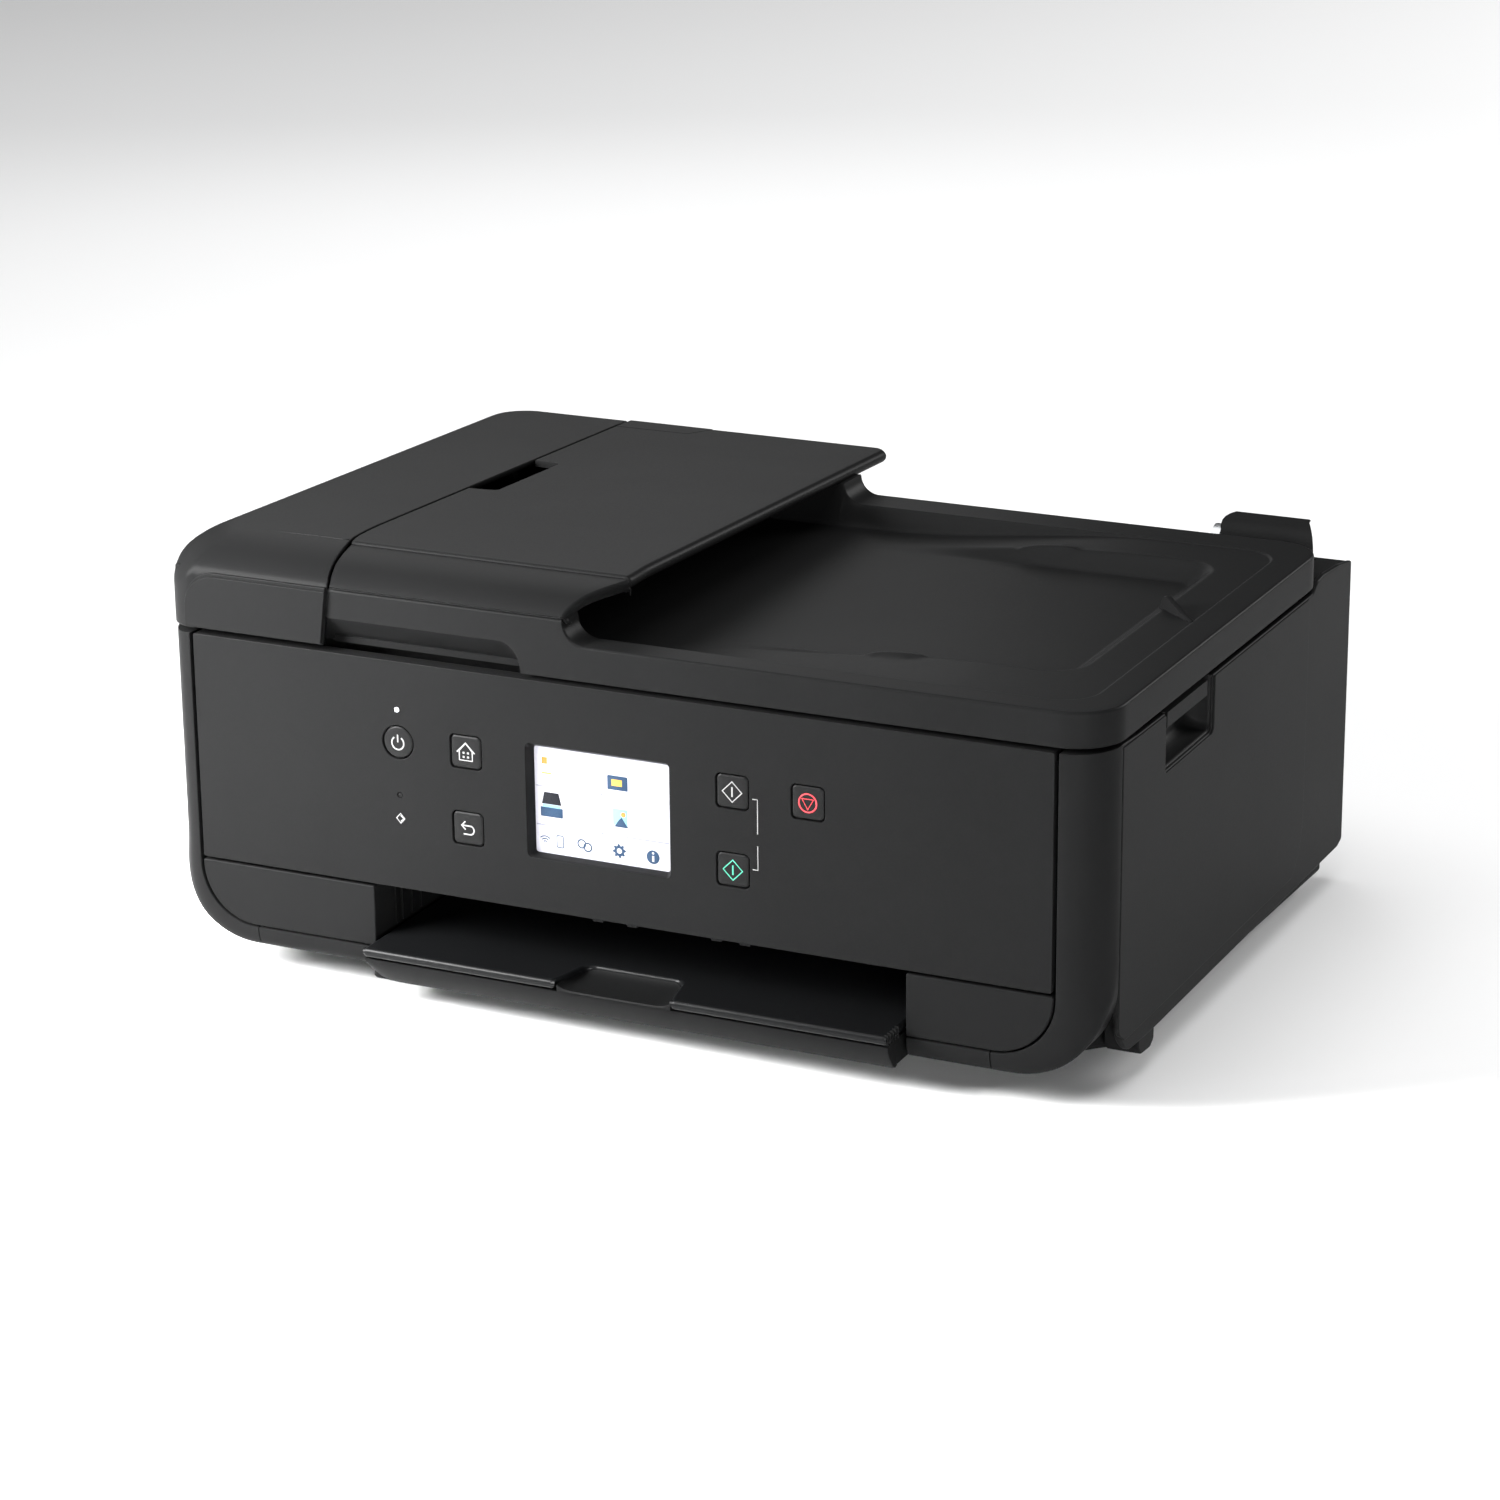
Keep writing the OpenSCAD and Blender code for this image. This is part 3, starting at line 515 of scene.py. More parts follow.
piece("alarm_lamp", plate([arc(-98.4, 93.6, 1.05, 0, 345, 23)], "front", 0.3, 4.5, 0.3), "panel",
      "button_black", ["status_lens"])


def dome(u, v, half, rnd, n=6):
    """Key with a very slightly crowned face."""
    rings = []
    for y, g in ((3.2, 0), (1.1, 0), (0.6, 0.12), (0.3, 0.45), (0.15, 1.0), (0.08, 3.0), (0.06, 5.2)):
        rings.append([(a, y, b) for a, b in box2(u - half + g, v - half + g, u + half - g, v + half - g,
                                                 max(0.5, rnd - g), n)])
    return loft(rings)


def disc(u, v, r):
    return loft([[(a, y, b) for a, b in arc(u, v, r - g, 0, 352.5, 47)] for y, g in (
        (3.2, 0), (1.1, 0), (0.6, 0.12), (0.3, 0.45), (0.15, 1.0), (0.08, 3.0), (0.06, 5.2))])


for n, (u, v) in KEYS.items():
    face = disc(u, v, 7.0) if n == "power_button" else dome(u, v, 7.05, 2.0)
    stem = loft([[(a, y, b) for a, b in arc(u, v, 3, 0, 345, 23)] for y in (3, 6.5)])
    piece(n + "_key", joined(face, stem), n, "button_black", [n])


def mark(name, body, ink, *parts):
    piece(name, joined(*parts), body, ink, weighted=False)


W = 0.62
u, v = KEYS["power_button"]
mark("power_mark", "power_button", "grey", line(arc(u, v - 0.3, 2.9, 125, 415, 26), W),
     line([(u, v), (u, v + 3.4)], W))
u, v = KEYS["home_button"]
house = [(u - 3.1, v - 3.6), (u - 3.1, v + 0.6), (u, v + 3.9), (u + 3.1, v + 0.6), (u + 3.1, v - 3.6)]
mark("home_mark", "home_button", "grey", line(house, W, True),
     line([(u - 4.2, v - 0.2), (u, v + 4.1), (u + 4.2, v - 0.2)], W),
     *[line([(u + a, v + b), (u + a + 0.9, v + b)], 0.9) for a in (-1.5, 0.6) for b in (-2.1, -0.3)])
u, v = KEYS["back_button"]
mark("back_mark", "back_button", "grey", line([(u - 2.9, v + 1.3)] + arc(u + 1.0, v - 0.6, 1.9, 90, -90, 10)
     + [(u - 2.2, v - 2.5)], W), line([(u - 1.2, v + 3.1), (u - 3.1, v + 1.3), (u - 1.2, v - 0.5)], W))
for n, ink in (("black_start_button", "grey"), ("colour_start_button", "green")):
    u, v = KEYS[n]
    mark(n + "_mark", n, ink, line([(u - 4.4, v), (u, v + 4.4), (u + 4.4, v), (u, v - 4.4)], W, True),
         line([(u, v - 2.1), (u, v + 2.1)], 0.7))
u, v = KEYS["stop_button"]
mark("stop_mark", "stop_button", "red", line(arc(u, v, 3.9, 0, 352, 44), W, True),
     line([(u - 2.6, v + 1.7), (u + 2.6, v + 1.7), (u, v - 2.8)], W, True))
mark("start_bracket", "panel", "grey", line([(67.0, 115.2), (69.3, 115.2), (69.3, 100.4)], 0.42),
     line([(67.0, 84.8), (69.3, 84.8), (69.3, 95.2)], 0.42))
mark("ready_mark", "panel", "grey", line([(-100.4, 83.2), (-98.4, 85.4), (-96.4, 83.2), (-98.4, 81.0)], 0.5,
                                         True),
     line([(-98.4, 84.6), (-97.0, 83.2), (-98.4, 81.8)], 0.5))

# pictures on the display
SY = 4.42


def tile(name, ink, outline, y=SY):
    piece(name, plate([outline], "front", y, y + 0.3, 0.02, 1), "panel", ink, weighted=False)


tile("grid_v", "line", box2(-4.6, 88.9, -4.2, 122.4))
tile("grid_h", "line", box2(-35.3, 105.5, 26.7, 105.9))
tile("bar_h", "line", box2(-35.3, 88.3, 26.7, 88.9))
for i, x in enumerate((-20.1, -4.6, 11.1)):
    tile("bar_v%d" % i, "line", box2(x, 76.6, x + 0.4, 88.4))
# copy: two sheets
tile("copy_sheet_back", "pale", poly((-28.6, 109.4), (-23.6, 110.6), (-25.2, 119.6), (-30.2, 118.4)), SY)
tile("copy_sheet_front", "white", poly((-32.9, 109.2), (-26.9, 109.2), (-26.9, 119.2), (-32.9, 119.2)),
     SY - 0.06)
tile("copy_line_a", "orange", box2(-32.2, 115.6, -29.6, 118.6), SY - 0.1)
tile("copy_line_b", "yellow", box2(-32.2, 111.2, -27.8, 112.0), SY - 0.1)
# fax: grey machine with a sheet
tile("fax_body", "navy", poly((-1.6, 108.6), (7.8, 108.6), (7.8, 114.8, 0.6), (-1.6, 114.8, 0.6)), SY)
tile("fax_sheet", "yellow", box2(0.4, 110.4, 5.2, 113.2), SY - 0.06)
tile("fax_top", "pale", poly((0.2, 115.0), (6.4, 115.0), (6.4, 118.4), (0.2, 118.4)), SY)
# scan: flat bed
tile("scan_lid", "black", poly((-32.6, 98.0), (-23.4, 98.0), (-24.6, 103.2, 0.4), (-31.4, 103.2, 0.4)), SY)
tile("scan_light", "sky", box2(-32.2, 96.6, -23.8, 97.8), SY - 0.05)
tile("scan_body", "navy", poly((-33.2, 92.4, 0.4), (-22.8, 92.4, 0.4), (-22.8, 96.6), (-33.2, 96.6)), SY)
# print: photo sheets
tile("print_back", "pale", poly((-1.8, 95.4), (3.4, 94.2), (4.8, 102.4), (-0.6, 103.4)), SY)
tile("print_mid", "sky", poly((0.8, 93.4), (7.4, 93.4), (7.4, 100.4), (0.8, 100.4)), SY - 0.05)
tile("print_front", "navy", poly((1.4, 92.6), (7.8, 92.6), (4.8, 97.0), (3.4, 95.6)), SY - 0.09)
tile("print_sun", "orange", arc(5.6, 98.2, 1.1, 0, 345, 20), SY - 0.09)
# bottom row: wireless and phone, link, gear, information
for i, r in enumerate((1.0, 2.1, 3.2)):
    piece("wave_%d" % i, line(arc(-31.4, 80.4, r, 45, 135, 8), 0.55, y=SY + 0.1, lift=0.1), "panel", "navy",
          weighted=False)
piece("phone", line(box2(-25.9, 79.4, -22.9, 84.6, 0.5), 0.5, True, y=SY + 0.1, lift=0.1), "panel", "navy",
      weighted=False)
piece("link", joined(line(arc(-14.2, 82.6, 1.8, 0, 345, 20), 0.7, True, y=SY + 0.1, lift=0.1),
                     line(arc(-11.4, 81.4, 1.8, 0, 345, 20), 0.7, True, y=SY + 0.1, lift=0.1)),
      "panel", "navy", weighted=False)
gear = [(3.4 + (3.1 if i % 4 < 2 else 2.3) * math.cos(pi * i / 16),
         82 + (3.1 if i % 4 < 2 else 2.3) * math.sin(pi * i / 16))
        for i in range(32)]
piece("gear", plate([gear, arc(3.4, 82, 1.2, 0, 345, 20)], "front", SY, SY + 0.3, 0.02, 1), "panel", "navy",
      weighted=False)
piece("info", plate([arc(19.1, 81.6, 3.0, 0, 352, 40), box2(18.6, 79.6, 19.6, 82.2),
                     arc(19.1, 83.3, 0.55, 0, 340, 12)],
                    "front", SY, SY + 0.3, 0.02, 1), "panel", "navy", weighted=False)


# ---------------------------------------------------------------- document cover
# top of the rim and lower edge of the walls
RIM, LOW = 169.6, 154.5


def well_depth(x, y, x1, y0, y1, r):
    qx, qy = x - (x1 - r), abs(y - (y0 + y1) / 2) - ((y1 - y0) / 2 - r)
    return r - (math.hypot(max(qx, 0), max(qy, 0)) + min(max(qx, qy), 0))


def rim_height(x, y):
    """The rim climbs to the feeder in a hollow curve at the front and at the back."""
    if y < 60:
        c, top, r = -9.2, 180.2, 10.6
    elif y > 230:
        c, top, r = 4.2, 178.4, 9.4
    else:
        return RIM
    if x >= c:
        return RIM
    return top if x <= c - r else RIM + r - math.sqrt(max(0, r * r - (x - c) ** 2))


def cover_height(x, y):
    s = smooth((x - 18) / 135)
    floor = 159.9 + 1.4 * (x + 130) / 320
    shelf = mix(floor, 169.05, s)
    top = rim_height(x, y)
    z = mix(top, shelf, smooth(well_depth(x, y, 205.6, 15, 250, 17) / (1.1 + 7.0 * (1 - s))))
    z += (floor - shelf) * smooth(well_depth(x, y, 187.5, 50, 226, 17) / 12.0)
    for cx, cy, w in ((108, 52.5, 5.0), (106, 224.0, 5.0)):
        t = 1 - ((x - cx) / 14) ** 2 - ((y - cy) / w) ** 2
        if t > 0:
            z += 1.9 * math.sqrt(t) * (1 - 0.4 * abs(y - cy) / w)
    return z


def notch_low(x):
    """Lower edge of the cover's front wall: it lifts over the finger recess."""
    if x > -39.5:
        return LOW
    if x > -49.5:
        return LOW + (167.4 - LOW) * math.sin(math.acos(max(-1, min(1, (x + 49.5) / 10.0))))
    return 167.4


# x of the samples along the cover's front edge (FX) and rear edge (RX)
FX = [-130 + 6 * i for i in range(13)] + [-52, -49.4, -48, -46.5, -45, -43.5, -42.2, -41.2, -40.4, -39.8,
                                          -39.4, -36, -30, -24]
FX += [-9.2 - 10.6 * math.cos(pi / 2 * i / 14) for i in range(15)]
FX = sorted(set(FX))
FX = FX + [-9.2 + 2.9 * i for i in range(1, 71)]
RX = [-130 + 6 * i for i in range(20)] + [4.2 - 9.4 * math.cos(pi / 2 * i / 12) for i in range(13)]
RX = sorted(set(RX)) + [4.2 + 2.9 * i for i in range(1, 66)]


def contour(x0, y0, x1, y1, r0, r1):
    """Samples round the cover; the same place in each list lies on the same line across the cover."""
    def spread(xs, end):
        return [x if x < 10 else 10 + (x - 10) * (end - 10) / (xs[-1] - 10) for x in xs]
    pts = [(max(x, x0 + r0), y0) for x in spread(FX, x1 - r1)]
    pts += arc(x1 - r1, y0 + r1, r1, -90, 0, 14)[1:]
    pts += [(x1, mix(y0 + r1, y1 - r1, i / 60)) for i in range(1, 60)]
    pts += arc(x1 - r1, y1 - r1, r1, 0, 90, 14)
    pts += [(max(x, x0 + r0), y1) for x in reversed(spread(RX, x1 - r1))][1:]
    pts += arc(x0 + r0, y1 - r0, r0, 90, 180, 6)[1:]
    pts += [(x0, mix(y1 - r0, y0 + r0, i / 8)) for i in range(1, 8)]
    pts += arc(x0 + r0, y0 + r0, r0, 180, 270, 6)[:-1]
    return pts


def cover():
    rings = []

    def outer(g, z, rise=0.0, inner=False):
        ring = []
        for x, y in contour(-212 + g, 1.4 + g, 219.4 - g, 269 - g, 11, 21 - min(g, 10)):
            zz = z
            if y < 12 and x < -39.4:
                if inner:
                    y = 13.0
                else:
                    zz = max(z, notch_low(x) + (0 if z < 155 else 0.5))
            if x < -134.6:
                y = max(y, 9)
            if rise and y < 60:
                zz = mix(max(LOW + 0.5, notch_low(x) + 0.5), rim_height(x, 5) - 1.3, rise)
            elif rise:
                zz = mix(LOW + 0.5, rim_height(x, y) - 1.3, rise)
            ring.append((x, y, zz))
        rings.append(ring)

    outer(3.4, 157.2, inner=True)
    outer(3.2, LOW + 0.2, inner=True)
    outer(2.9, LOW, inner=True)
    outer(0.6, LOW)
    outer(0.15, LOW + 0.15)
    outer(0, LOW + 0.5)
    for t in (0.25, 0.5, 0.75, 1.0):
        outer(0, 0, rise=t)
    for a in (22.5, 45, 67.5, 90):
        g = 1.3 * (1 - math.cos(math.radians(a)))
        ring = []
        for x, y in contour(-212 + g, 1.4 + g, 219.4 - g, 269 - g, 11, 21 - g):
            top = rim_height(x, 5 if y < 60 else y)
            if x < -134.6:
                y = max(y, 9)
            ring.append((x, y, top - 1.3 + 1.3 * math.sin(math.radians(a))))
        rings.append(ring)

    def laid(x0, y0, x1, y1, r0, r1):
        rings.append([(x, y, cover_height(x, y)) for x, y in contour(x0, y0, x1, y1, r0, r1)])

    laid(-206, 5, 215, 264, 9, 19)
    laid(-170, 10, 210, 256, 5, 18)
    laid(-133.2, 14.4, 206.2, 250.6, 1.5, 17.6)
    for g in (0, 0.3, 0.6, 0.9, 1.2, 1.7, 2.4, 3.2, 4.2, 5.4, 6.8, 8.2, 9.6):
        k = g / 9.6
        laid(-133 + g * 0.05, 15 + g, 205.6 - g, 250 - g, 1.4, 17 - 2 * k)
    for k in (0.2, 0.4, 0.6, 0.8, 0.93):
        laid(mix(-132.5, -132.2, k), mix(24.6, 50, k), mix(196, 187.5, k), mix(240.4, 226, k), 1.3,
             mix(15, 17, k))
    for g in (0, 0.8, 1.6, 2.4, 3.2, 4.2, 5.4, 6.6, 7.8, 9, 10.2, 11.4, 12.6):
        laid(-132.2 + g * 0.05, 50 + g, 187.5 - g, 226 - g, 1.2, 17 - g * 0.6)
    for k in (0.25, 0.5, 0.75, 1.0):
        laid(-131.5, mix(62.6, 132, k), mix(174.9, 106, k), mix(213.4, 144, k), 1.1, mix(9.4, 3, k))
    return loft(rings)


arms = joined(*[plate([poly((262, 156.4), (262, 164.0, 2), (278, 162.6, 5), (293, 164.2, 4),
                            (297.6, 162.6, 3), (298.4, 157, 4), (294, 153.2, 4), (285, 153.6, 4),
                            (276, 156.4, 3), n=5),
                       arc(HINGE_Y, HINGE_Z, 3.1, 0, 345, 23)], "side", s * 184 - 6, s * 184 + 6, 0.7)
                for s in (-1, 1)])
piece("cover_top", cover(), "cover", "shell_black", ["document_cover"], sharp=40)
piece("cover_arms", arms, "cover", "dark_inner", ["document_cover"])
grip = loft([[(x, y, z) for y, z in ((12.6, 167.4), (12.2, 164), (11.4, 158.6), (9.9, 157.4), (9.6, 154.9),
                                     (12.9, 154.9))]
              for x in (-133.5, -44.5, -42, -40.2)])
piece("grip_scoop", grip, "cover", "shell_black", ["document_cover"])
wedge = []
for t, h in ((0, 0.2), (0.04, 4.0), (0.10, 5.2), (0.16, 5.4), (0.5, 3.1), (0.85, 0.9), (1.0, 0.1)):
    x, y = mix(185.5, 204.6, t), mix(154.5, 137.6, t)
    z = 168.4
    d = Vector((0.66, 0.75)) * 2.3
    wedge.append([(x - d.x, y - d.y, z), (x - d.x * 0.55, y - d.y * 0.55, z + h + 0.5), (x, y, z + h + 0.8),
                  (x + d.x * 0.55, y + d.y * 0.55, z + h + 0.5), (x + d.x, y + d.y, z)])
piece("sheet_stop", loft(wedge), "cover", "shell_black", ["document_cover"])

# ---------------------------------------------------------------- feeder
# slope of the feeder's top to the back
FALL = 0.03492


def top_plane(y):
    return 190.0 - FALL * (y - 60)


def roll_point(t):
    """Side profile: t 0..1 up the front wall, 1..2 over the roll, 2..3 along the top."""
    if t <= 1:
        return Vector((0.0, mix(155.3, 178.5, t)))
    if t <= 2:
        a = (t - 1) * pi / 2
        return Vector((38 * (1 - math.cos(a)), 178.5 + (top_plane(38) - 178.5) * math.sin(a)))
    y = mix(38, 306, t - 2)
    return Vector((y, top_plane(y)))


def seam_at(y, z):
    """x of the seam right of the feeder cover: leaning on the front face, then an S-curve on top."""
    if y < 3:
        return along([(155, -133.4), (165, -132.2), (175, -130.9), (180, -130.3), (184, -130.9)], z)
    return along([(3, -130.9), (4.3, -131.4), (12.3, -133.9), (21.8, -136.3), (30, -138.3), (36, -139.9),
                  (42, -141.7), (48, -142.9), (57, -143.8), (68, -144.3)], y)


def seam(t):
    return seam_at(*roll_point(t))


def cap():
    """Feeder cover: seam edge, front roll, left rounding and rear edge on one path, with a flat top."""
    rings = []

    def front_ring(i, n, rim=None):
        ring = []
        for k in range(21):
            if k < 4:
                y, z, a, t = 0.8, (155.3, 155.9, 163.5, 171.0)[k], 0.0, 0.0
                out = Vector((-1, 0))
            else:
                a = pi / 2 * (k - 4) / 16
                t = 1 + (k - 4) / 16
                y, z = roll_point(t)
                y += 0.8 * (1 - smooth((t - 1.08) / 0.2))
                q = (roll_point(t + 0.01) - roll_point(t - 0.01)).normalized()
                out = Vector((-q.y, q.x))
            start = seam_at(y, z) - 0.7
            if rim:
                ring.append((start - rim[0], y - out.x * rim[1], z - out.y * rim[1]))
            else:
                ring.append((mix(start - 0.6, mix(-197.4, -190, 1 - math.cos(a)), i / n), y, z))
        x, y, z = ring[-1]
        f = 1 - smooth((i / n - 0.35) / 0.5)
        ring += [(x, y + 0.25 * f, z - 0.6 * f), (x, y + 0.6 * f, z - 0.6 * f), (x, y + 0.85 * f, z)]
        rings.append(ring)

    n = 24
    for rim in ((0, 2.4), (0, 0.6), (0.17, 0.17)):
        front_ring(0, n, rim)
    for i in range(n + 1):
        front_ring(i, n)
    path = []
    for i in range(1, 17):
        a = math.radians(-90 - 90 * i / 16)
        path.append(((-197.4 + 18.4 * math.cos(a), 22 + 22 * math.sin(a)),
                     (-190 + 15.8 * math.cos(a), 58 + 20 * math.sin(a)), i / 16))
    for i in range(1, 41):
        path.append(((-215.8, mix(22, 283, i / 40)), (-205.8, mix(58, 290, i / 40)), 1))
    for i in range(1, 17):
        a = math.radians(180 - 90 * i / 16)
        path.append(((-196.4 + 19.4 * math.cos(a), 283 + 23 * math.sin(a)),
                     (-190 + 15.8 * math.cos(a), 290 + 13 * math.sin(a)), 1 + i / 16))
    for i in range(1, 13):
        path.append(((mix(-196.4, -145, i / 12), 306.0), (mix(-190, -145, i / 12), 303.0), 2))
    for (x, y), (xi, yi), s in path:
        top = top_plane(yi)
        z1 = mix(178.5, top - 10.4, smooth(s)) if s <= 1 else mix(top - 10.4, top - 3.2, smooth(s - 1))
        if s < 1:
            z1 -= 7 * math.sin(pi * s) ** 1.3
        low = 155.3 if y < 246 else mix(155.3, 168.2, smooth((y - 246) / 22))
        ring = [(x, y, low), (x, y, low + 0.6), (x, y, mix(low + 0.6, z1, 0.33)),
                (x, y, mix(low + 0.6, z1, 0.66))]
        for k in range(17):
            a = pi / 2 * k / 16
            ring.append((mix(x, xi, 1 - math.cos(a)), mix(y, yi, 1 - math.cos(a)), mix(z1, top, math.sin(a))))
        rings.append(ring + [ring[-1]] * 3)
    bm = bmesh.new()
    rows = [[bm.verts.new(p) for p in ring] for ring in rings]
    for a, b in zip(rows, rows[1:]):
        for i in range(len(a) - 1):
            bm.faces.new((a[i], a[i + 1], b[i + 1], b[i]))
    edge = []
    for i in range(41):
        y = mix(38.85, 303, (i / 40) ** 1.4)
        x, z = seam_at(y, 190) - 0.7, top_plane(y)
        edge.append([bm.verts.new(p) for p in ((x, y, z - 2.4), (x, y, z - 0.6), (x - 0.17, y, z - 0.17),
                                               (x - 0.6, y, z))])
    for a, b in zip(edge, edge[1:]):
        for i in range(3):
            bm.faces.new((a[i], a[i + 1], b[i + 1], b[i]))
    bm.faces.new([r[-1] for r in rows[4:]] + [e[3] for e in reversed(edge)][:-1])
    me = bpy.data.meshes.new("cap")
    bm.to_mesh(me)
    bm.free()
    return me


piece("feeder_cover_skin", cap(), "feeder_cover", "shell_black", ["feeder_cover"], shell=2.2, sharp=34)
face = [plate([poly((-134.2, 156.0, 0.4), (-201.4, 156.0, 0.4), (-201.4, h, 15), (-131.2, h, 0.4), n=12)],
              "front", d, 1.4, 0.4)
        for h, d in ((179.3, -0.8), (180.9, -0.2))]
piece("feeder_cover_face", joined(*face), "feeder_cover", "shell_black", ["feeder_cover"])


def roll_skin():
    def x_end(y):
        return mix(-19.0, -5.5, smooth(y / 36) * 0.35 + min(1, max(0, y / 36)) * 0.65)
    ts = [1.135, 1.15] + [1.165 + i * 0.03 for i in range(24)] + [1.9, 1.93, 1.955]
    prof = []
    for t in ts:
        p = roll_point(t) - Vector((0, 1.0 * smooth((t - 1.45) / 0.5)))
        q = (roll_point(t + 0.01) - roll_point(t - 0.01)).normalized()
        prof.append((t, p, Vector((-q.y, q.x))))
    first, last = prof[0], prof[-1]
    rows = [(first[0], first[1] - first[2] * 2.4 + Vector((0.6, 0)), first[2]),
            (first[0], first[1] - first[2] * 0.9, first[2]),
            (first[0], first[1] - first[2] * 0.25 + Vector((0, 0.15)), first[2])]
    rows += [(t, p + Vector((0, 0.35 if t < 1.14 else 0)), o) for t, p, o in prof]
    rows += [(last[0], last[1] + Vector((0.35, -0.15)), last[2]),
             (last[0], last[1] + Vector((0.5, -0.6)), last[2]),
             (last[0], last[1] + Vector((0.5, -2.6)), last[2])]
    rings = []
    for t, p, o in rows:
        x0, x1 = seam(t) + 0.6, x_end(p.x)
        ring = []
        for f, g in ((0.0, 2.6), (0.0, 0.55), (0.16, 0.16), (0.55, 0.0)):
            ring.append((x0 + f, p.x - o.x * g, p.y - o.y * g))
        for k in range(1, 24):
            ring.append((mix(x0 + 0.55, x1 - 1.6, k / 24), p.x, p.y))
        for a in (0, 25, 50, 70, 90):
            g = 1.6 * (1 - math.cos(math.radians(a)))
            ring.append((x1 - 1.6 + 1.6 * math.sin(math.radians(a)), p.x - o.x * g, p.y - o.y * g))
        ring.append((x1 - 0.3, p.x - o.x * 4.4, p.y - o.y * 4.4))
        rings.append(ring)
    return loft(rings, closed=False, cap=False)


piece("feeder_roll", roll_skin(), "cover", "shell_black", ["feeder_housing"], shell=0.9, sharp=40)
inner = [plate([box2(-210, 12, -147, 264, 3)], "plan", 169.7, 171.6, 0.4)]
for y in (58, 201):
    inner.append(plate([poly((-200, 171, 0.5), (-150, 171, 0.5), (-150, 181, 3), (-200, 181, 3)),
                        arc(-162, 176.8, 2.3, 0, 340, 17), arc(-188, 176.2, 2.3, 0, 340, 17)],
                       "front", y, y + 4, 0.4))
inner.append(plate([box2(-131.2, 170.2, -23, 180.0, 0.6)], "front", 12.5, 15.5, 0.4))
inner.append(plate([box2(-131.0, 15, -128.6, 262, 0.6)], "plan", 160, 178.2, 0.4))
for y in range(228, 60, -16):
    inner.append(plate([box2(-129, y, -126.4, y + 2.2, 0.4)], "plan", 160.4, 177, 0.3))
piece("feeder_inner", joined(*inner), "cover", "dark_inner", ["feeder_housing"])


def tray_skin():
    def x_left(y):
        x = along([(36, -139.3), (42, -141.1), (48, -142.3), (57, -143.2), (68, -143.7)], y)
        if 146.5 < y < 209.5:
            e = min(y - 146.5, 209.5 - y)
            x = mix(x, -130.2, math.sqrt(max(0, 1 - (1 - min(1, e / 3.0)) ** 2)))
        return x

    def x_right(y):
        return mix(-5.6, -7.0, smooth((y - 38) / 22)) - 5.5 * max(0, (y - 300.5) / 5.5) ** 2.2

    ys = [36.7, 36.8, 37.1, 37.5, 38.0, 38.8] + [41 + 2.4 * i for i in range(43)]
    ys += [146.5, 146.7, 147.1, 147.7, 148.4, 149.4] + [152 + 4 * i for i in range(14)]
    ys += [206.6, 207.6, 208.3, 208.9, 209.3, 209.5] + [213 + 4 * i for i in range(22)]
    ys += [300.5, 302, 303.4, 304.6, 305.4, 305.8, 305.9]
    ys = sorted(set(ys))
    rings = []
    for y in ys:
        drop = 0.0
        if y < 38.0:
            drop = 1.3 * (1 - math.sqrt(max(0, 1 - ((38.0 - y) / 1.3) ** 2)))
        if y > 304.6:
            drop = 1.3 * (1 - math.sqrt(max(0, 1 - ((y - 304.6) / 1.3) ** 2)))
        z, x0, x1 = top_plane(y), x_left(y), x_right(y)
        pts = [(x0, z - 3.2), (x0, z - 0.5 - drop), (x0 + 0.15, z - 0.15 - drop), (x0 + 0.5, z - drop)]
        pts += [(mix(x0 + 0.5, x1 - 6.0, k / 8), z - drop) for k in range(1, 9)]
        for a in (10, 25, 40, 55, 70, 85, 100, 120, 145, 170):
            pts.append((x1 - 3.4 + 3.4 * math.sin(math.radians(a)),
                        z - drop - 3.0 * (1 - math.cos(math.radians(a)))))
        pts += [(x1 - 3.6, z - 5.6), (x1 - 4.6, z - 4.4), (x1 - 6, z - 3.3)]
        rings.append([(x, y, zz) for x, zz in pts])
    return loft(rings)


piece("document_tray_skin", tray_skin(), "document_tray", "shell_black", ["document_tray"], sharp=36)
flap = [[(x, y, top_plane(y) + h) for x, y in poly((-143.2, 290.3, 0.6), (-105.5, 290.8, 2.5),
                                                   (-98.5, 305.4, 0.8), (-143.2, 305.4, 0.6), n=5)]
        for h in (-0.4, 0.02)]
inset = [[(x, y, top_plane(y) + 0.16) for x, y in poly((-142.9, 290.6, 0.5), (-105.7, 291.1, 2.3),
                                                       (-99.0, 305.1, 0.7), (-142.9, 305.1, 0.5), n=5)]]
piece("tray_flap", loft(flap + inset), "document_tray", "shell_black", ["document_tray"])


# ---------------------------------------------------------------- hinge tab at the back right
# run of the tab's left end to the right, and fall of its curve, for each mm forward of its rear edge
LEAN, SLOPE = 0.483, 0.3715


def tab():
    """Curved hood over the right hinge, ending in a thin upturned edge."""
    rings = []
    prof = [(284.6, 156.5), (285.1, 160.5), (286.6, 164.4), (289.2, 167.3), (292.6, 169.1), (296, 170.1),
            (299.4, 170.8), (300.6, 171.5)]
    for i, (y, z) in enumerate(prof):
        forward = 300 - y
        level = min(171.3, z - SLOPE * forward)
        left = 157.2 + LEAN * forward + 10.5 * (1 - math.sqrt(max(0, 1 - (max(0, level - 161.5) / 9.9) ** 2)))
        end = 200.4 + LEAN * forward + (0.8 if i == len(prof) - 1 else 0)
        rings.append([(left, y + 1.1, z - 0.9), (left, y + 0.2, z - 0.1), (left + 0.5, y, z),
                      (mix(left, end, 0.5), y, z), (end - 0.6, y, z), (end, y + 0.2, z - 0.2),
                      (end, y + 1.1, z - 0.9), (mix(left, end, 0.5), y + 1.3, z - 1.1)])
    return loft(rings)


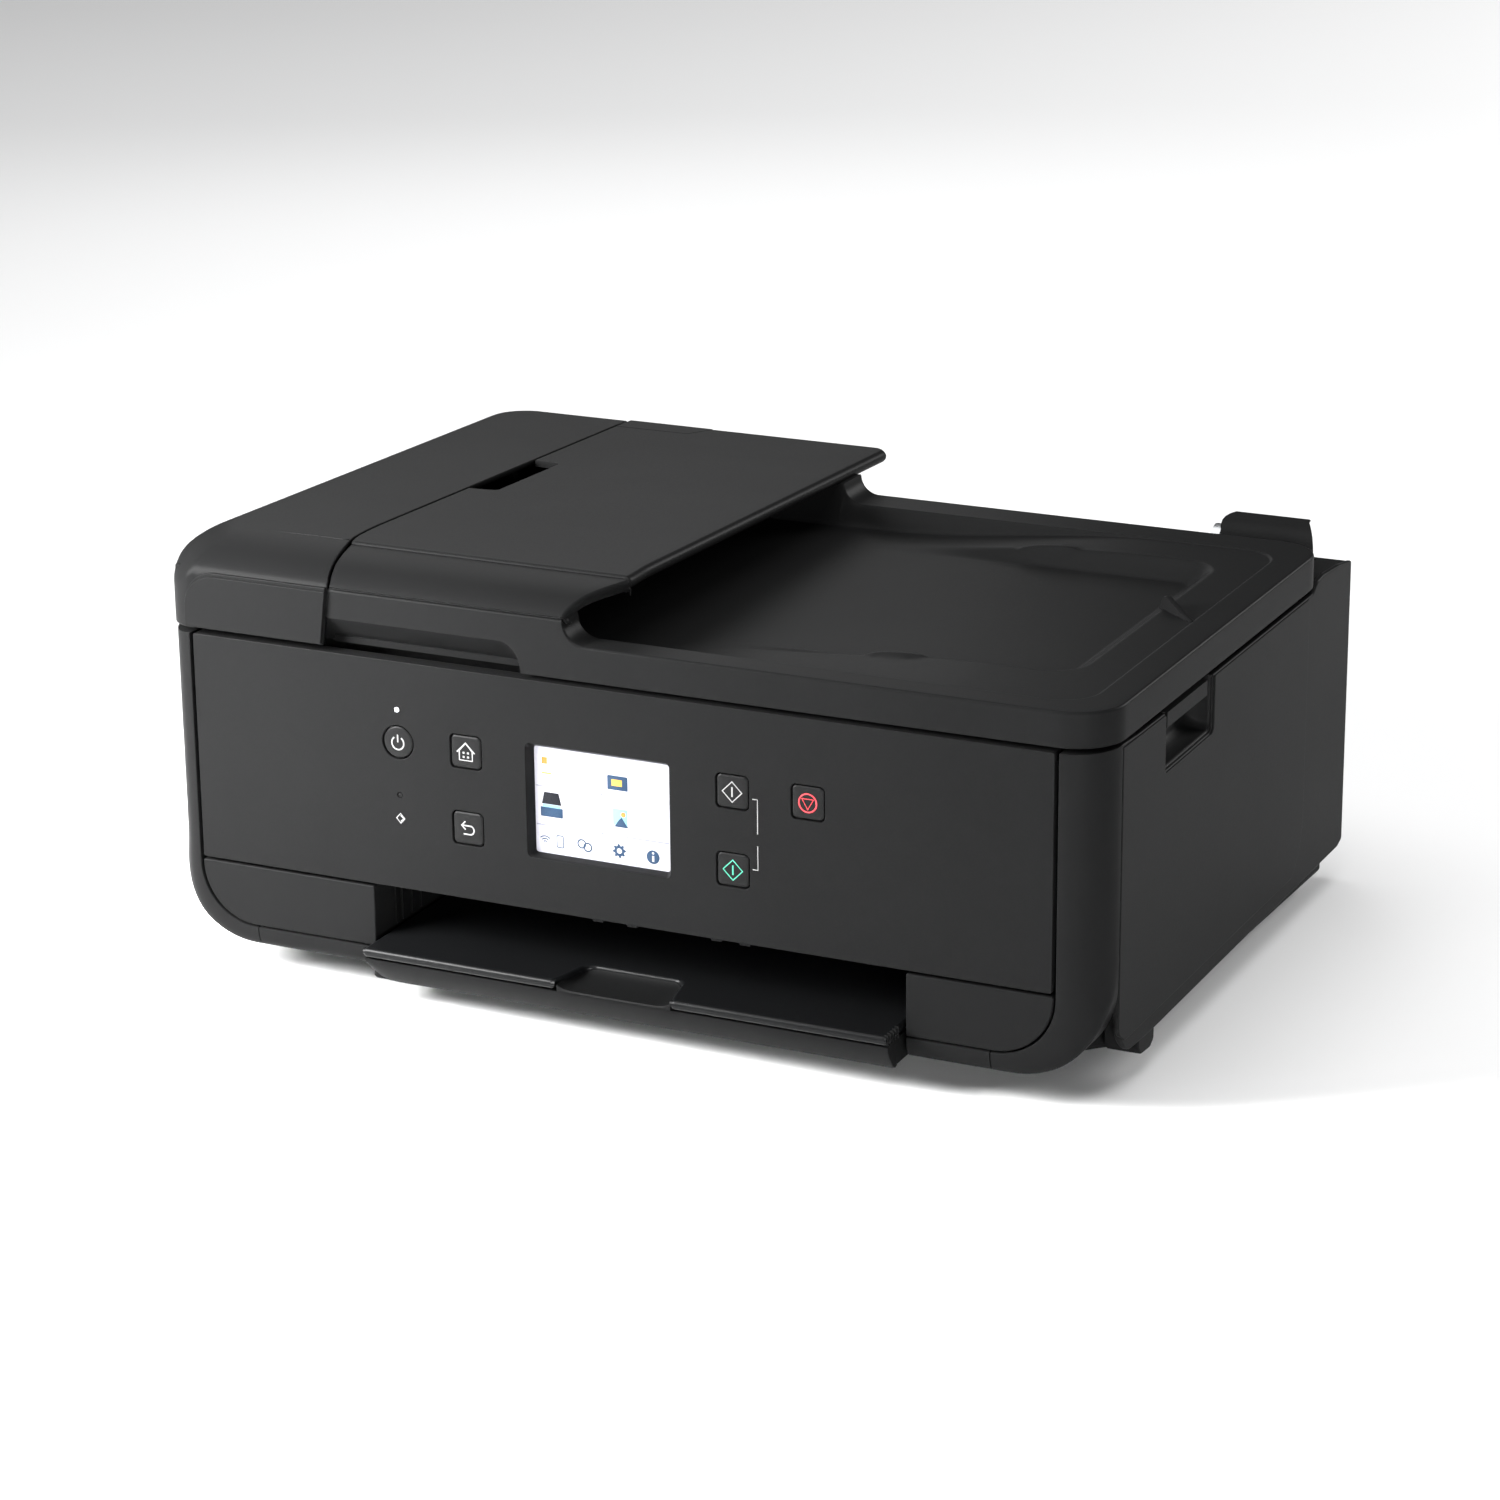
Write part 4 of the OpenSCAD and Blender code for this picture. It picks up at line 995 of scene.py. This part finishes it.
piece("hinge_tab", tab(), "cover", "shell_black", ["hinge_cap"])
piece("hinge_hood", loft([[(x, HINGE_Y + 8.1 * math.cos(a), HINGE_Z + 8.1 * math.sin(a)) for a in (
    math.radians(10 + 10 * i) for i in range(19))] for x in (164, 164.6, 198.4, 199)],
    closed=False, cap=False), "cover", "shell_black", ["hinge_cap"], shell=0.8)


# ---------------------------------------------------------------- paper trays
def tray_outline():
    return poly((-110.9, 185), (-110.9, -14.9, 1.6), (-19.5, -14.9, 1.6), (-17.2, -8, 3), (-14.2, 7.8, 5),
                (30.7, 7.8, 5), (33.7, -8, 3), (36.0, -14.9, 1.6), (132.9, -14.9, 1.6), (132.9, 185))


piece("output_tray_skin", plate([tray_outline()], "plan", 23.5, 27.5, 1.7, 5), "output_tray", "gloss_black",
      ["output_tray"])
scoop = []
for x, h in ((-17.6, 2.6), (-16.6, 1.5), (-14.5, 0.6), (-11, 0.1), (-6, 0), (9, 0), (24, 0), (28.5, 0.1),
             (32, 0.6), (34.2, 1.5), (35.4, 2.6)):
    scoop.append([(x, y, z + h * k) for y, z, k in ((8.4, 26.6, 0.2), (7.2, 25.2, 0.6), (4.5, 24.0, 1),
                                                    (0, 23.4, 1), (-7, 23.2, 1), (-13, 23.5, 1),
                                                    (-14.3, 23.9, 0.8), (-14.6, 23.4, 0.6), (-14.3, 22.9, 0),
                                                    (8.4, 22.9, 0))])
lip = poly((-15.0, 27.3, 1.8), (-15.0, 24.9, 0.9), (-13.1, 24.9, 0.5), (-13.1, 27.3), n=5)
piece("tray_lip", joined(*[loft([[(x, y, z) for y, z in lip] for x in (a, b)])
                           for a, b in ((-110.8, -18.4), (35.2, 132.8))]),
      "output_tray", "gloss_black", ["output_tray"])
piece("tray_scoop", loft(scoop), "output_tray", "dark_inner", ["output_tray"])
ribs = [plate([box2(-13.5 + 2.6 * i, 23.2, -12.5 + 2.6 * i, 27.9, 0.3)], "side", 131.5, 133.3, 0.2)
        for i in range(5)]
piece("tray_ribs", joined(*ribs), "output_tray", "shell_black", ["output_tray"])


def cassette_front():
    rings = []
    for x, g in ((-111.0, 7.6), (-110.4, 5.0), (-109.0, 2.9), (-106.6, 1.2), (-103, 0.2), (-98, 0), (-60, 0),
                 (60, 0), (131.8, 0), (132.6, 0.2), (132.8, 0.6)):
        rings.append([(x, y, z) for y, z in ((-6.0, 22.8), (-11.8, 22.8), (-12.9, 22.2), (-12.8, 20.6),
                                             (-11.4 + g * 0.1, 17.4 + g * 0.25),
                                             (-8.6 + g * 0.2, 13.4 + g * 0.6),
                                             (-6.4 + g * 0.2, 11.0 + g * 0.8), (-4.6, 10.4 + g * 0.9),
                                             (-3.4, 11.0 + g * 0.85), (-3.2, 13 + g * 0.7))])
    return loft(rings)


# the cassette face takes the darker copy of the plastic: painted shade for the face tucked under the output
# tray
piece("cassette_face", cassette_front(), "cassette", "dark_inner", ["paper_cassette"])
bin_rings = [[(x, y, z) for x, y in box2(-110.9 + g, -7 + g, 132.9 - g, 282 - g, 2)] for z, g in (
    (11.4, 0.5), (12.2, 0), (23.0, 0), (23.0, 2.2), (13.4, 2.2))]
piece("cassette_bin", loft(bin_rings), "cassette", "dark_inner", ["paper_cassette"])

# lining of the paper slot in the darker plastic, painted shade for the slot: side walls with ribs
lining = [plate([box2(18, 26, 60, 50, 0.4)], "side", -113.6, -112.9, 0.2),
          plate([box2(18, 26, 60, 50, 0.4)], "side", 134.9, 135.6, 0.2)]
for y in (22, 30, 38):
    lining.append(plate([box2(y, 28, y + 1.6, 50, 0.3)], "side", -113.2, -111.8, 0.2))
piece("slot_lining", joined(*lining), "base", "dark_inner", ["lower_cover_left"])
nubs = [plate([box2(x, 50.4, x + 5, 51.8, 0.3)], "front", 0.9, 4, 0.2) for x in (-8, 8, 47, 60)]
piece("panel_nubs", joined(*nubs), "panel", "dark_inner", ["control_panel"])

# ---------------------------------------------------------------- CAD pieces that stay, with rounded edges
ROUND = {"rear_cover": 0.6, "scanner_base": 0.8, "scanner_frame": 0.4, "print_carriage": 0.8,
         "purge_unit": 0.5, "power_supply": 0.8, "hinge_posts": 0.4, "hinge_brackets": 0.4,
         "scan_carriage": 0.6, "tank_large_black": 0.6, "tank_black": 0.6, "tank_cyan": 0.6,
         "tank_magenta": 0.6, "tank_yellow": 0.6, "paper_guide_left": 0.4, "paper_guide_right": 0.4,
         "ac_inlet": 0.4, "rear_jacks": 0.3, "print_head": 0.4, "platen": 0.3, "rubber_feet": 1.0,
         "ink_absorber": 0.8, "carriage_motor": 0.5, "feed_motor": 0.5}
slots = {s["node"]: s["material_slot"] for s in frame["record"]["subparts"]}
for n, ob in frame["nodes"].items():
    ob.data.materials.clear()
    ob.data.materials.append(MAT[slots[n]])
    if n in ROUND and not ob.hide_render:
        bv = ob.modifiers.new("edges", "BEVEL")
        bv.width, bv.segments, bv.limit_method, bv.angle_limit = ROUND[n] / 1000, 2, "ANGLE", math.radians(40)
        bv.use_clamp_overlap = True

# ---------------------------------------------------------------- floor
floor_mesh = bpy.data.meshes.new("floor")
floor_mesh.from_pydata([(-14, -14, 0), (14, -14, 0), (14, 14, 0), (-14, 14, 0)], [], [(0, 1, 2, 3)])
floor = bpy.data.objects.new("floor", floor_mesh)
scene.collection.objects.link(floor)
floor_mesh.materials.append(material("floor_white", (0.9, 0.9, 0.9), 0.9, 40, 0.0, 0.0, 0.02))
